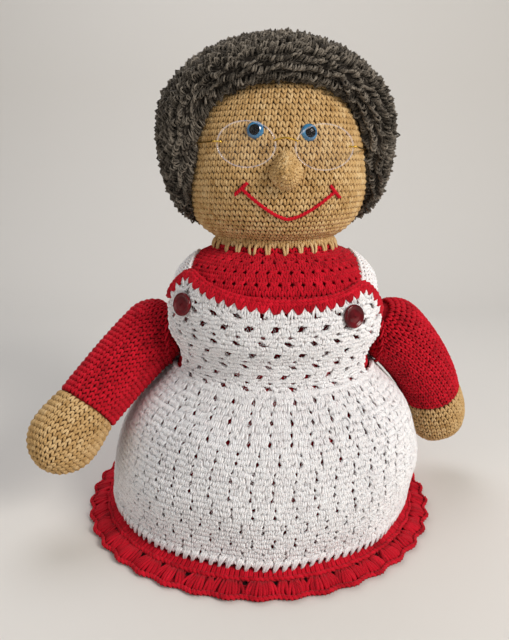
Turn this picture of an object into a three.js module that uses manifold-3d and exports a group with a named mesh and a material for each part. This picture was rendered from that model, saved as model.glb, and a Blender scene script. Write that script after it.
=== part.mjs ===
// A crocheted doll in a red dress and a white openwork apron, with grey hair and wire spectacles.
// Millimetres, +Z up. The doll faces -Y, so left and right are the sides seen from in front.

import * as THREE from 'three';
import { mergeVertices } from 'three/addons/utils/BufferGeometryUtils.js';
import Module from 'manifold-3d';

const wasm = await Module();
wasm.setup();

// Driving sizes

const fabric = 3;
const seat = 0.3;
const turningGap = 0.8;
// Room left under cloth that only lies on what is below it.
const clothEase = 0.6;

// The body leans a little to the right of the picture.
const leanWidth = 13;
const leanHeight = 150;

// Dress: radius and height of each place where its outline changes.
const baseRadius = 122;
const lowSkirt = { radius: 124.5, height: 36 };
const hip = { radius: 124.5, height: 58 };
const skirtSlope = { radius: 111, height: 93 };
const skirtTop = { radius: 87, height: 118.5 };
const waist = { radius: 77.5, height: 130 };
const chest = { radius: 83, height: 162 };
const shoulder = { radius: 80.5, height: 194 };
const yoke = { radius: 65, height: 213 };
const neckRadius = 48;

const stiffenerThickness = 2;

const flounceReach = 23;
const flounceDrop = 8.5;
const flounceThickness = 3.6;
const scallopCount = 40;
const scallopDepth = 1.6;

// Apron
const apronTopHeight = 124.7;
const apronBandHeight = 12;
const apronPanelAngle = 108;
const apronFoldCount = 9;
const apronFoldDepth = 0.9;
const bibTopHeight = 188;
const bibCornerRise = 10;
const bibHalfAngle = 63;
const bibTurn = -2;
const bibTilt = 4;
const bibCornerAngle = 48;
// How far below the bib's top it starts to rise over the straps, and has risen.
const bibRiseStart = 42;
const bibRiseEnd = 24;
const edgingRadius = 2.5;
const strapWidth = 22;

const buttonRadius = 8;
const buttonThickness = 3.4;
// Each button's drop is from the bib's top.
const buttonPlaces = {
  left: { angle: -48.5, drop: 3 },
  right: { angle: 36, drop: 8 },
};

// Neck: a ball of stuffing that plugs the neck and carries the head.
const neckBallRadius = 47.5;
const neckBallHeight = 242;
const neckSeamRadius = 2;
const headTurn = 3;

// Each rise, from here to the spectacles, is a height above the middle of the neck's ball.
const neckRise = -21.4;
const neckSeamRise = -18.4;

// Head
const chin = { radius: 57, rise: -3 };
const jaw = { radius: 66, rise: 9 };
const cheek = { radius: 71.5, rise: 29 };
const crownRise = 122;

const hairNape = { radius: 58, rise: -6 };
const hairJaw = { radius: 80, rise: 13 };
const hairSide = { radius: 91.2, rise: 50 };
const hairTemple = { radius: 88, rise: 91 };
const hairCrown = { radius: 60, rise: 122 };
const hairParting = { radius: 20, rise: 137.5 };
const hairTopRise = 139;
const hairWaveCount = 7;
const hairWaveDepth = 1.4;

// The hair's edge round the face, from under the jaw to the brow.
const faceEdge = [
  { side: 73, rise: -16 },
  { side: 68, rise: 14 },
  { side: 63, rise: 43 },
  { side: 50, rise: 75 },
  { side: 43, rise: 93 },
  { side: 25, rise: 99 },
  { side: 0, rise: 99 },
];

// Face, in the head's own front view: sideways distance and rise.
const faceTilt = 2;
const faceMiddleRise = 43;
const eyesMiddle = -1.5;
const eye = { side: 18, rise: 65, radius: 6, bulge: 4.2 };
const eyeShankRadius = 2;
const eyeShankLength = 11;
const washerRadius = 7;
const washerThickness = 2;
const nose = { side: 1.5, rise: 39, halfWidth: 11.8, halfHeight: 13.5, reach: 11.5, bridge: 5 };
const mouth = { side: 4.5, halfWidth: 31.5, cornerRise: 26.5, middleRise: 7.5 };
const mouthYarnRadius = 1.3;
const mouthTickLength = 11;

// Spectacles
const lens = { side: 26, rise: 55.5, halfWidth: 20, halfHeight: 15.3, thickness: 1.4 };
const lensDistance = 76;
const wireRadius = 0.6;
const bridgeRise = 5;
const templeLength = 68;
const templeSplay = 20.5;

// Arms: distances are measured from the shoulder's centre, along the arm.
const shoulderCentreDistance = 100;
const shoulderCentreHeight = 150;
const armRadius = 27;
const cuffRadius = 24.5;
const cuffDistance = 84;
const handRadius = 27;
const handDistance = 108;
const handEnd = 137;
const shoulderSeamRadius = 1.5;
const armPoses = {
  left: { side: -1, depth: -5, droopStart: 49, droopEnd: 61, swing: -40 },
  right: { side: 1, depth: 0, droopStart: 44, droopEnd: 78, swing: 22 },
};

// Facets
const bodySides = 36;
const headSides = 30;
const armSides = 18;
const flounceRows = 3;
const socketSegments = 20;
// Slivers smaller than this, left where solids are cut, are merged away.
const mergeTolerance = 0.04;

const radians = THREE.MathUtils.degToRad;

// Solids from points

function closedGeometry(points, faces) {
  let volume = 0;
  for (let k = 0; k < faces.length; k += 3) {
    const [a, b, c] = [points[faces[k]], points[faces[k + 1]], points[faces[k + 2]]];
    volume += a.dot(b.clone().cross(c));
  }
  const facing = volume < 0 ? faces.slice().reverse() : faces;
  const geometry = new THREE.BufferGeometry();
  geometry.setAttribute('position', new THREE.Float32BufferAttribute(points.flatMap((p) => p.toArray()), 3));
  geometry.setIndex(facing);
  return geometry;
}

// A stack of closed rings, finished at each end with a fan round one point.
function ringStack(rings, firstPole, lastPole) {
  const count = rings[0].length;
  const points = [...rings.flat(), firstPole, lastPole];
  const faces = [];
  for (let j = 0; j + 1 < rings.length; j += 1) {
    for (let i = 0; i < count; i += 1) {
      const a = j * count + i;
      const b = j * count + (i + 1) % count;
      faces.push(a, b, b + count, a, b + count, a + count);
    }
  }
  const lastStart = (rings.length - 1) * count;
  for (let i = 0; i < count; i += 1) {
    const next = (i + 1) % count;
    faces.push(points.length - 2, next, i);
    faces.push(points.length - 1, lastStart + i, lastStart + next);
  }
  return closedGeometry(points, faces);
}

// A slab between two skins, each a function of a share across and a share along.
function slab(columns, rows, outerSkin, innerSkin, wrapped = false) {
  const columnCount = wrapped ? columns : columns + 1;
  const points = [];
  for (const skin of [outerSkin, innerSkin]) {
    for (let i = 0; i < columnCount; i += 1) {
      for (let j = 0; j <= rows; j += 1) {
        points.push(skin(i / columns, j / rows));
      }
    }
  }
  const at = (skin, i, j) => (skin * columnCount + (i % columnCount)) * (rows + 1) + j;
  const faces = [];
  const quad = (a, b, c, d) => faces.push(a, b, c, a, c, d);
  for (let i = 0; i < columns; i += 1) {
    for (let j = 0; j < rows; j += 1) {
      quad(at(0, i, j), at(0, i + 1, j), at(0, i + 1, j + 1), at(0, i, j + 1));
      quad(at(1, i, j), at(1, i, j + 1), at(1, i + 1, j + 1), at(1, i + 1, j));
    }
    quad(at(0, i, 0), at(1, i, 0), at(1, i + 1, 0), at(0, i + 1, 0));
    quad(at(0, i, rows), at(0, i + 1, rows), at(1, i + 1, rows), at(1, i, rows));
  }
  for (let j = 0; j < rows && !wrapped; j += 1) {
    quad(at(0, 0, j), at(0, 0, j + 1), at(1, 0, j + 1), at(1, 0, j));
    quad(at(0, columns, j), at(1, columns, j), at(1, columns, j + 1), at(0, columns, j + 1));
  }
  return closedGeometry(points, faces);
}

function toManifold(geometry) {
  const bare = geometry.clone();
  bare.deleteAttribute('normal');
  bare.deleteAttribute('uv');
  const merged = mergeVertices(bare, 1e-4);
  const vertProperties = new Float32Array(merged.getAttribute('position').array);
  const triVerts = new Uint32Array(merged.getIndex().array);
  return new wasm.Manifold(new wasm.Mesh({ numProp: 3, vertProperties, triVerts }));
}

function fromManifold(solid) {
  const mesh = solid.simplify(mergeTolerance).getMesh();
  const geometry = new THREE.BufferGeometry();
  geometry.setAttribute('position', new THREE.BufferAttribute(new Float32Array(mesh.vertProperties), 3));
  geometry.setIndex(new THREE.BufferAttribute(new Uint32Array(mesh.triVerts), 1));
  return geometry;
}

function subtract(geometry, ...cutters) {
  return fromManifold(cutters.reduce((solid, cutter) => solid.subtract(toManifold(cutter)), toManifold(geometry)));
}

function join(...geometries) {
  return fromManifold(geometries.slice(1).reduce((solid, other) => solid.add(toManifold(other)), toManifold(geometries[0])));
}

// Outlines: lists of points whose x is a radius and whose y is a height.

const outlinePoint = (radius, height) => new THREE.Vector2(radius, height);

function smoothOutline(places, steps) {
  const knots = places.map((place) => new THREE.Vector3(place.radius, place.height, 0));
  return new THREE.CatmullRomCurve3(knots, false, 'centripetal').getSpacedPoints(steps)
    .map((point) => outlinePoint(point.x, point.y));
}

// Moves an outline outwards along its own normal.
function offsetOutline(outline, distance) {
  return outline.map((point, k) => {
    const before = outline[Math.max(k - 1, 0)];
    const after = outline[Math.min(k + 1, outline.length - 1)];
    const along = after.clone().sub(before).normalize();
    const moved = outlinePoint(point.x + along.y * distance, point.y - along.x * distance);
    return point.x === 0 ? outlinePoint(0, point.y + distance) : moved;
  });
}

function radiusAt(outline, height) {
  for (let k = 0; k + 1 < outline.length; k += 1) {
    const [low, high] = [outline[k], outline[k + 1]];
    if (height <= high.y) {
      const share = THREE.MathUtils.clamp((height - low.y) / (high.y - low.y), 0, 1);
      return THREE.MathUtils.lerp(low.x, high.x, share);
    }
  }
  return outline[outline.length - 1].x;
}

// The nearest place on an outline, with the outward normal there.
function nearestOn(outline, radius, height) {
  const target = outlinePoint(radius, height);
  let best = { distance: Infinity };
  for (let k = 0; k + 1 < outline.length; k += 1) {
    const along = outline[k + 1].clone().sub(outline[k]);
    const share = THREE.MathUtils.clamp(target.clone().sub(outline[k]).dot(along) / along.lengthSq(), 0, 1);
    const point = outline[k].clone().addScaledVector(along, share);
    const distance = point.distanceTo(target);
    if (distance < best.distance) {
      best = { distance, point, normal: outlinePoint(along.y, -along.x).normalize() };
    }
  }
  return best;
}

// Places round an upright axis: angle 0 is the front, and a positive angle is to the right.

function leanAt(height) {
  const share = THREE.MathUtils.clamp(height / leanHeight, 0, 1);
  return leanWidth * Math.sin(share * Math.PI / 2);
}

function onBody(radius, angle, height) {
  return new THREE.Vector3(leanAt(height) + radius * Math.sin(angle), -radius * Math.cos(angle), height);
}

function onHead(radius, angle, height) {
  return new THREE.Vector3(radius * Math.sin(angle), -radius * Math.cos(angle), height);
}

// A solid turned from an outline whose ends are closed flat, or meet the axis.
function turned(outline, sides, place) {
  const rings = outline.filter((point) => point.x > 0).map((point) => (
    Array.from({ length: sides }, (_, i) => place(point.x, 2 * Math.PI * i / sides, point.y))
  ));
  return ringStack(rings, place(0, 0, outline[0].y), place(0, 0, outline[outline.length - 1].y));
}

// Lengthens an outline straight down and up, so that a cutter made from it passes right through.
function runPast(outline, length) {
  const [first, last] = [outline[0], outline[outline.length - 1]];
  return [outlinePoint(first.x, first.y - length), ...outline, outlinePoint(last.x, last.y + length)];
}

function ball(radius, centre, segments = socketSegments) {
  const rings = Math.round(segments / 2);
  return new THREE.SphereGeometry(radius, segments, rings).translate(centre.x, centre.y, centre.z);
}

function yarn(points, radius, steps, sides) {
  const section = new THREE.Shape();
  for (let i = 0; i < sides; i += 1) {
    const angle = 2 * Math.PI * i / sides;
    const [x, y] = [radius * Math.cos(angle), radius * Math.sin(angle)];
    if (i === 0) section.moveTo(x, y);
    else section.lineTo(x, y);
  }
  section.closePath();
  const path = new THREE.CatmullRomCurve3(points, false, 'centripetal');
  return new THREE.ExtrudeGeometry(section, { steps, bevelEnabled: false, extrudePath: path });
}

// Shared outlines

const atHead = (rise) => neckBallHeight + rise;
const headPlace = ({ radius, rise }) => ({ radius, height: atHead(rise) });

const dressOutline = smoothOutline([
  { radius: baseRadius, height: 0 }, lowSkirt, hip, skirtSlope, skirtTop, waist, chest, shoulder, yoke,
  headPlace({ radius: neckRadius, rise: neckRise }),
], 12);

function neckBallArc(fromAngle, toAngle, radius, steps) {
  return Array.from({ length: steps + 1 }, (_, k) => {
    const angle = radians(THREE.MathUtils.lerp(fromAngle, toAngle, k / steps));
    return outlinePoint(radius * Math.cos(angle), neckBallHeight + radius * Math.sin(angle));
  });
}

function crownArc(steps) {
  return Array.from({ length: steps + 1 }, (_, k) => {
    const angle = Math.PI / 2 * k / steps;
    const height = atHead(THREE.MathUtils.lerp(cheek.rise, crownRise, Math.sin(angle)));
    return outlinePoint(k === steps ? 0 : cheek.radius * Math.cos(angle), height);
  });
}

const headRimAngle = -20.5;
const headThroatAngle = -12.6;
const headOutline = [
  ...neckBallArc(headRimAngle, headThroatAngle, neckBallRadius, 2),
  outlinePoint(chin.radius, atHead(chin.rise)),
  outlinePoint(jaw.radius, atHead(jaw.rise)),
  ...crownArc(6),
];

const shoulderCentres = Object.fromEntries(Object.entries(armPoses).map(([name, pose]) => [
  name,
  new THREE.Vector3(
    leanAt(shoulderCentreHeight) + pose.side * shoulderCentreDistance, pose.depth, shoulderCentreHeight,
  ),
]));

const shoulderSockets = (radius) => Object.values(shoulderCentres).map((centre) => ball(radius, centre));

// The arm is flattened where it is sewn to the body: nothing but the shoulder ball passes that plane.
const dressAtShoulder = radiusAt(dressOutline, shoulderCentreHeight);
const seamPlane = shoulderCentreDistance - dressAtShoulder - fabric - 2 * seat - shoulderSeamRadius;
const armFlat = seamPlane - shoulderSeamRadius - turningGap;
const shoulderSeamRing = Math.sqrt((armRadius + seat + shoulderSeamRadius) ** 2 - seamPlane ** 2);

// Round bars along each shoulder's seam, wide enough for the seam to turn in.
const shoulderClearings = () => Object.values(shoulderCentres).map((centre) => {
  const radius = shoulderSeamRing + shoulderSeamRadius + turningGap;
  return new THREE.CylinderGeometry(radius, radius, 2 * armRadius, socketSegments).rotateZ(Math.PI / 2)
    .translate(centre.x, centre.y, centre.z);
});
const neckBallCentre = new THREE.Vector3(leanAt(neckBallHeight), 0, neckBallHeight);

// Body

function bodyCover() {
  const outside = turned(dressOutline, bodySides, onBody);
  const inside = turned(runPast(offsetOutline(dressOutline, -fabric), 2 * fabric), bodySides, onBody);
  const socketRadius = armRadius + turningGap;
  const dented = subtract(outside, ...shoulderSockets(socketRadius));
  const filling = subtract(inside, ...shoulderSockets(socketRadius + fabric));
  return subtract(dented, filling);
}

function basePanel() {
  const radius = radiusAt(offsetOutline(dressOutline, -fabric), 0) - seat;
  return new THREE.CylinderGeometry(radius, radius, fabric, bodySides).rotateX(Math.PI / 2)
    .translate(0, 0, fabric / 2);
}

function baseStiffener() {
  const radius = radiusAt(offsetOutline(dressOutline, -fabric), 0) - 2 * seat;
  return new THREE.CylinderGeometry(radius, radius, stiffenerThickness, bodySides).rotateX(Math.PI / 2)
    .translate(0, 0, fabric + seat + stiffenerThickness / 2);
}

function bodyStuffing() {
  const bottom = fabric + stiffenerThickness + 2 * seat;
  const outline = offsetOutline(dressOutline, -fabric - seat).filter((point) => point.y > bottom + 1);
  const first = outlinePoint(radiusAt(offsetOutline(dressOutline, -fabric - seat), bottom), bottom);
  return subtract(
    turned([first, ...outline], bodySides / 2, onBody),
    ...shoulderSockets(armRadius + turningGap + fabric + seat),
    ball(neckBallRadius + turningGap, neckBallCentre, 28),
  );
}

// The flounce leaves the dress a little above its hem and spreads to a scalloped edge on the table.
const flounceTop = flounceDrop + flounceThickness;

function skirtFlounce() {
  const root = radiusAt(dressOutline, flounceTop) + seat;
  const skin = (lift) => (across, along) => {
    const angle = 2 * Math.PI * across;
    const scallop = scallopDepth * along * Math.cos(scallopCount * angle);
    const height = flounceDrop * (1 - along) ** 1.4;
    return onBody(root + flounceReach * along + scallop, angle, height + lift);
  };
  return slab(2 * scallopCount, flounceRows, skin(flounceThickness), skin(0), true);
}

// Apron

// The hem is level in front and rises to the waistband behind, where the apron is open.
function apronHem(angle) {
  const corner = THREE.MathUtils.smoothstep(Math.abs(angle), apronPanelAngle - 14, apronPanelAngle + 14);
  return THREE.MathUtils.lerp(flounceTop + clothEase, apronTopHeight - apronBandHeight, corner);
}

// Cuts away whatever of a cloth would touch the dress.
function clearOfDress(geometry) {
  return subtract(geometry, turned(runPast(offsetOutline(dressOutline, seat), fabric), bodySides, onBody));
}

function apronSkirt() {
  const halfTurn = Math.PI - Math.PI / bodySides;
  const skin = (lift) => {
    const outline = offsetOutline(dressOutline, lift);
    return (across, along) => {
      const angle = THREE.MathUtils.lerp(-halfTurn, halfTurn, across);
      const height = THREE.MathUtils.lerp(apronTopHeight, apronHem(THREE.MathUtils.radToDeg(angle)), along);
      const fold = apronFoldDepth * along * (1 + Math.cos(apronFoldCount * angle));
      return onBody(radiusAt(outline, height) + fold, angle, height);
    };
  };
  const cloth = slab(bodySides - 1, 8, skin(fabric + clothEase), skin(-fabric / 2));
  return subtract(clearOfDress(cloth), ...shoulderClearings());
}

function bibTop(angle) {
  const turn = Math.abs(angle - bibTurn);
  const level = bibTopHeight - bibTilt * (angle - bibTurn) / bibHalfAngle;
  if (turn <= bibCornerAngle) return level + bibCornerRise * (turn / bibCornerAngle) ** 2;
  const past = (turn - bibCornerAngle) / (bibHalfAngle - bibCornerAngle);
  return level + bibCornerRise - 1.7 * bibCornerRise * past ** 2;
}

// The bib rises over the strap ends that lie behind its upper part.
function bibLift(height) {
  const share = THREE.MathUtils.smoothstep(height, bibTopHeight - bibRiseStart, bibTopHeight - bibRiseEnd);
  return clothEase + share * (fabric + 3 * clothEase);
}

function onDress(radius, angle, height, lift) {
  const near = nearestOn(dressOutline, radius, height);
  const place = near.point.addScaledVector(near.normal, lift);
  return onBody(place.x, angle, place.y);
}

function apronBib() {
  const bottom = apronTopHeight + 2 * seat;
  const skin = (lift) => (across, along) => {
    const angle = bibTurn + bibHalfAngle * (2 * across - 1);
    const height = THREE.MathUtils.lerp(bottom, bibTop(angle), along);
    return onDress(radiusAt(dressOutline, height), radians(angle), height, bibLift(height) + lift);
  };
  const panel = slab(20, 6, skin(fabric), skin(0));
  return subtract(panel, ...shoulderClearings());
}

// The edging runs along the bib's upper edge, square to it and clear of the straps behind.
function bibEdging() {
  const points = [];
  const count = 12;
  for (let k = -count; k <= count; k += 1) {
    const angle = bibTurn + bibHalfAngle * k / count;
    const climb = (bibTop(angle + 1) - bibTop(angle - 1)) / (2 * radians(1) * shoulder.radius);
    const away = (edgingRadius + clothEase) / Math.hypot(1, climb);
    const height = bibTop(angle) + away;
    const turn = radians(angle) - climb * away / shoulder.radius;
    const lift = bibLift(bibTop(angle)) + edgingRadius - clothEase;
    points.push(onDress(radiusAt(dressOutline, height), turn, height, lift));
  }
  return yarn(points, edgingRadius, 32, 6);
}

// A strap's way over the shoulder, from behind the bib to the band at the back: angles, and heights as
// shares of the way from the apron's top to the neck.
const strapWay = [
  [56, 0.566], [58, 0.681], [71, 0.816], [90, 0.874], [109, 0.827], [123, 0.723], [134, 0.525], [141, 0.316],
  [143, 0.16], [143, 0],
];

function strap(side) {
  const way = new THREE.CatmullRomCurve3(strapWay.map(([angle, share]) => {
    const height = THREE.MathUtils.lerp(apronTopHeight + clothEase, atHead(neckRise), share);
    const radius = radiusAt(dressOutline, height);
    return onHead(radius, side * radians(angle), height);
  }));
  const skin = (lift) => (across, along) => {
    const centre = way.getPointAt(along);
    const tangent = way.getTangentAt(along);
    const angle = Math.atan2(centre.x, -centre.y);
    const normal = nearestOn(dressOutline, Math.hypot(centre.x, centre.y), centre.z).normal;
    const outward = new THREE.Vector3(normal.x * Math.sin(angle), -normal.x * Math.cos(angle), normal.y);
    const sideways = tangent.cross(outward).normalize();
    const edge = centre.addScaledVector(sideways, (across - 0.5) * strapWidth);
    return onDress(Math.hypot(edge.x, edge.y), Math.atan2(edge.x, -edge.y), edge.z, lift);
  };
  return clearOfDress(slab(2, 14, skin(fabric + clothEase), skin(-fabric / 2)));
}

// Places a piece that is modelled lying flat, so that it lies on the bib at an angle and below its top.
function placeOnBib(geometry, { angle, drop }) {
  const height = bibTopHeight - drop;
  const lift = bibLift(height) + fabric + seat;
  const turn = radians(angle);
  const spot = onDress(radiusAt(dressOutline, height), turn, height, lift);
  const normal = nearestOn(dressOutline, radiusAt(dressOutline, height), height).normal;
  const outward = new THREE.Vector3(normal.x * Math.sin(turn), -normal.x * Math.cos(turn), normal.y);
  const facing = new THREE.Quaternion().setFromUnitVectors(new THREE.Vector3(0, 0, 1), outward.normalize());
  return geometry.clone().applyQuaternion(facing).translate(spot.x, spot.y, spot.z);
}

const buttonHoleOffset = 1.9;
const buttonHoleRadius = 1.1;
const buttonThreadRadius = 0.7;

function button() {
  const disc = new THREE.LatheGeometry([
    new THREE.Vector2(0, 0),
    new THREE.Vector2(buttonRadius - 1.5, 0),
    new THREE.Vector2(buttonRadius, 1.4),
    new THREE.Vector2(buttonRadius - 0.5, buttonThickness - 0.3),
    new THREE.Vector2(buttonRadius - 1.4, buttonThickness),
    new THREE.Vector2(buttonRadius - 2.6, buttonThickness - 0.8),
    new THREE.Vector2(0, buttonThickness - 1.2),
  ], 18).rotateX(Math.PI / 2);
  const holes = [-1, 1].map((way) => (
    new THREE.CylinderGeometry(buttonHoleRadius, buttonHoleRadius, 12, 8).rotateX(Math.PI / 2)
      .translate(way * buttonHoleOffset, 0, 0)
  ));
  return subtract(disc, ...holes);
}

function buttonThread() {
  const top = buttonThickness - 0.8 + buttonThreadRadius + seat;
  const foot = -seat + 0.1;
  return yarn([
    new THREE.Vector3(-buttonHoleOffset, 0, foot),
    new THREE.Vector3(-buttonHoleOffset, 0, top - 0.4),
    new THREE.Vector3(0, 0, top),
    new THREE.Vector3(buttonHoleOffset, 0, top - 0.4),
    new THREE.Vector3(buttonHoleOffset, 0, foot),
  ], buttonThreadRadius, 10, 5);
}

// Neck and head

function neckSeam() {
  const away = neckBallRadius + turningGap / 2 + seat / 2 + neckSeamRadius;
  const ringRadius = Math.sqrt(away ** 2 - neckSeamRise ** 2);
  const height = atHead(neckSeamRise);
  return new THREE.TorusGeometry(ringRadius, neckSeamRadius, 5, headSides).translate(leanAt(height), 0, height);
}

// A point of the face from the front view, with the outward direction there.
function onFace(side, rise, lift = 0) {
  const tilt = radians(faceTilt);
  const above = rise - faceMiddleRise;
  const x = side * Math.cos(tilt) + above * Math.sin(tilt);
  const z = atHead(faceMiddleRise - side * Math.sin(tilt) + above * Math.cos(tilt));
  const radius = radiusAt(headOutline, z);
  const angle = Math.asin(THREE.MathUtils.clamp(x / radius, -1, 1));
  const near = nearestOn(headOutline, radius, z);
  const outward = new THREE.Vector3(near.normal.x * Math.sin(angle), -near.normal.x * Math.cos(angle), near.normal.y);
  return { point: onHead(radius, angle, z).addScaledVector(outward, lift), outward };
}

function placeOnFace(geometry, side, rise) {
  const { point, outward } = onFace(side, rise);
  const facing = new THREE.Quaternion().setFromUnitVectors(new THREE.Vector3(0, 0, 1), outward);
  return geometry.clone().applyQuaternion(facing).translate(point.x, point.y, point.z);
}

function standingCylinder(radius, bottom, top, sides) {
  return new THREE.CylinderGeometry(radius, radius, top - bottom, sides).rotateX(Math.PI / 2)
    .translate(0, 0, (top + bottom) / 2);
}

const eyeSide = (way) => eyesMiddle + way * eye.side;
const faceSag = 1.2;
const washerTop = -fabric - seat - faceSag;

function eyePiece() {
  const steps = 4;
  const arc = Array.from({ length: steps + 1 }, (_, k) => {
    const angle = Math.PI / 2 * k / steps;
    const radius = k === steps ? 0 : eye.radius * Math.cos(angle);
    return new THREE.Vector2(radius, seat + 0.6 + eye.bulge * Math.sin(angle));
  });
  return new THREE.LatheGeometry([
    new THREE.Vector2(0, -eyeShankLength),
    new THREE.Vector2(eyeShankRadius, -eyeShankLength),
    new THREE.Vector2(eyeShankRadius, seat),
    new THREE.Vector2(eye.radius - 0.5, seat),
    ...arc,
  ], 16).rotateX(Math.PI / 2);
}

function eyeWasher() {
  return subtract(
    standingCylinder(washerRadius, washerTop - washerThickness, washerTop, 16),
    standingCylinder(eyeShankRadius + seat, washerTop - 2 * washerThickness, 1, 12),
  );
}

function headSolid(offset) {
  return turned(offsetOutline(headOutline, offset), headSides, onHead);
}

function headCover() {
  const inner = offsetOutline(headOutline, -fabric);
  const inside = turned([outlinePoint(inner[0].x, inner[0].y - 2 * fabric), ...inner], headSides, onHead);
  const holes = [-1, 1].map((way) => (
    placeOnFace(standingCylinder(eyeShankRadius + seat, -3 * fabric, 3 * fabric, 12), eyeSide(way), eye.rise)
  ));
  return subtract(headSolid(0), inside, ...holes);
}

function headStuffing() {
  const inner = offsetOutline(headOutline, -fabric - seat);
  const plugRadius = neckBallRadius - seat;
  const plugAngle = -THREE.MathUtils.radToDeg(Math.acos(inner[0].x / plugRadius));
  const plug = neckBallArc(-90, plugAngle, plugRadius, 6);
  plug[0].x = 0;
  const pockets = [-1, 1].flatMap((way) => [
    standingCylinder(washerRadius + 2 * seat, washerTop - washerThickness - seat, 3 * fabric, 12),
    standingCylinder(eyeShankRadius + 2 * seat, -eyeShankLength - seat, 0, 8),
  ].map((pocket) => placeOnFace(pocket, eyeSide(way), eye.rise)));
  return subtract(turned([...plug, ...inner], headSides / 2, onHead), ...pockets);
}

function hairPoint(radius, angle, height) {
  const share = (height - atHead(hairNape.rise)) / (hairTopRise - hairNape.rise);
  const wave = Math.sin(hairWaveCount * 2 * Math.PI * share) * Math.sin(Math.PI * share);
  return onHead(radius + (radius > 0 ? hairWaveDepth * wave : 0), angle, height);
}

// The opening for the face, as seen from in front, run through the front half of the hair.
function faceOpening() {
  const edge = new THREE.SplineCurve(
    faceEdge.map(({ side, rise }) => new THREE.Vector2(side, atHead(rise))),
  ).getPoints(14);
  const mirrored = edge.slice(0, -1).reverse().map((point) => new THREE.Vector2(-point.x, point.y));
  const shape = new THREE.Shape([...edge, ...mirrored]);
  const depth = 2 * hairSide.radius;
  return new THREE.ExtrudeGeometry(shape, { depth, bevelEnabled: false }).rotateX(Math.PI / 2);
}

// The slots in which the spectacles' temples lie between hair and head, open towards the front.
function templeSlots() {
  return [-1, 1].map((way) => {
    const tip = templeTip(way);
    const start = lensEnd(way);
    const height = (tip.z + start.z) / 2;
    const inward = Math.abs(start.x) - 6;
    const outward = Math.abs(tip.x) + 4 * wireRadius;
    return new THREE.BoxGeometry(outward - inward, 3 * hairSide.radius, 8 * wireRadius)
      .translate(way * (inward + outward) / 2, tip.y + 6 * wireRadius - 1.5 * hairSide.radius, height);
  });
}

function hairCap() {
  const places = [hairNape, hairJaw, hairSide, hairTemple, hairCrown, hairParting].map(headPlace);
  const outline = [...smoothOutline(places, 12), outlinePoint(0, atHead(hairTopRise))];
  return subtract(turned(outline, headSides, hairPoint), headSolid(seat), faceOpening(), ...templeSlots());
}

function noseSolid(shrink) {
  const rings = [];
  const steps = 7;
  const squeeze = (share) => 1 - 0.42 * THREE.MathUtils.smoothstep(share, 0.45, 1);
  for (let k = 1; k < steps; k += 1) {
    const angle = Math.PI * k / steps;
    const share = (1 - Math.cos(angle)) / 2;
    const height = atHead(nose.rise) + (nose.halfHeight - shrink) * (2 * share - 1);
    const width = (nose.halfWidth - shrink) * Math.sin(angle) * squeeze(share);
    const reach = (nose.reach - shrink) * Math.sin(angle) * squeeze(share);
    rings.push(Array.from({ length: 12 }, (_, i) => {
      const turn = 2 * Math.PI * i / 12;
      return new THREE.Vector3(width * Math.sin(turn), -reach * Math.cos(turn), height);
    }));
  }
  const ends = [-1, 1].map((way) => (
    new THREE.Vector3(0, 0, atHead(nose.rise) + way * (nose.halfHeight - shrink))
  ));
  const { point } = onFace(nose.side, nose.rise, nose.bridge);
  return ringStack(rings, ...ends).translate(point.x, point.y, 0);
}

function noseCover() {
  return subtract(noseSolid(0), noseSolid(fabric), headSolid(seat));
}

function noseStuffing() {
  return subtract(noseSolid(fabric + seat), headSolid(seat));
}

function mouthPoint(share) {
  const side = mouth.halfWidth * share;
  const rise = THREE.MathUtils.lerp(mouth.middleRise, mouth.cornerRise, Math.abs(share) ** 1.35);
  return onFace(mouth.side + side, rise, mouthYarnRadius + seat).point;
}

function smileYarn() {
  const reach = 1 - 2 * mouthYarnRadius / mouth.halfWidth;
  const points = Array.from({ length: 13 }, (_, k) => mouthPoint(reach * (k / 6 - 1)));
  return yarn(points, mouthYarnRadius, 18, 5);
}

function mouthTick(way) {
  const slant = radians(45);
  const points = [-1, 0, 1].map((end) => onFace(
    mouth.side + way * (mouth.halfWidth + mouthYarnRadius / 2 + end * mouthTickLength / 2 * Math.cos(slant)),
    mouth.cornerRise - end * mouthTickLength / 2 * Math.sin(slant),
    mouthYarnRadius + seat,
  ).point);
  return yarn(points, mouthYarnRadius, 4, 5);
}

// Spectacles

function tiltWithFace(geometry) {
  const middle = atHead(faceMiddleRise);
  return geometry.translate(0, 0, -middle).rotateY(radians(faceTilt)).translate(0, 0, middle);
}

function tiltedPoint(x, y, z) {
  const middle = atHead(faceMiddleRise);
  return new THREE.Vector3(x, y, z - middle).applyAxisAngle(new THREE.Vector3(0, 1, 0), radians(faceTilt))
    .add(new THREE.Vector3(0, 0, middle));
}

const lensMiddle = atHead(lens.rise);

const lensEnd = (way) => (
  tiltedPoint(way * (lens.side + lens.halfWidth + 2 * wireRadius + seat), -lensDistance, lensMiddle + 1)
);

function templeTip(way) {
  const start = lensEnd(way);
  const splay = radians(templeSplay);
  return start.clone().add(new THREE.Vector3(
    way * templeLength * Math.sin(splay), templeLength * Math.cos(splay), 0,
  ));
}

function lensPiece(way) {
  const glass = new THREE.CylinderGeometry(1, 1, lens.thickness, 24)
    .scale(lens.halfWidth, 1, lens.halfHeight)
    .translate(way * lens.side, -lensDistance, lensMiddle);
  return tiltWithFace(glass);
}

function spectaclesBridge() {
  const end = lens.side - lens.halfWidth - wireRadius - seat;
  const front = -lensDistance - lens.thickness / 2 - wireRadius - seat;
  const points = [
    tiltedPoint(-end - 3, front, lensMiddle + bridgeRise - 2),
    tiltedPoint(-end, front, lensMiddle + bridgeRise - 1),
    tiltedPoint(0, front, lensMiddle + bridgeRise),
    tiltedPoint(end, front, lensMiddle + bridgeRise - 1),
    tiltedPoint(end + 3, front, lensMiddle + bridgeRise - 2),
  ];
  return yarn(points, wireRadius, 8, 5);
}

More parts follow.
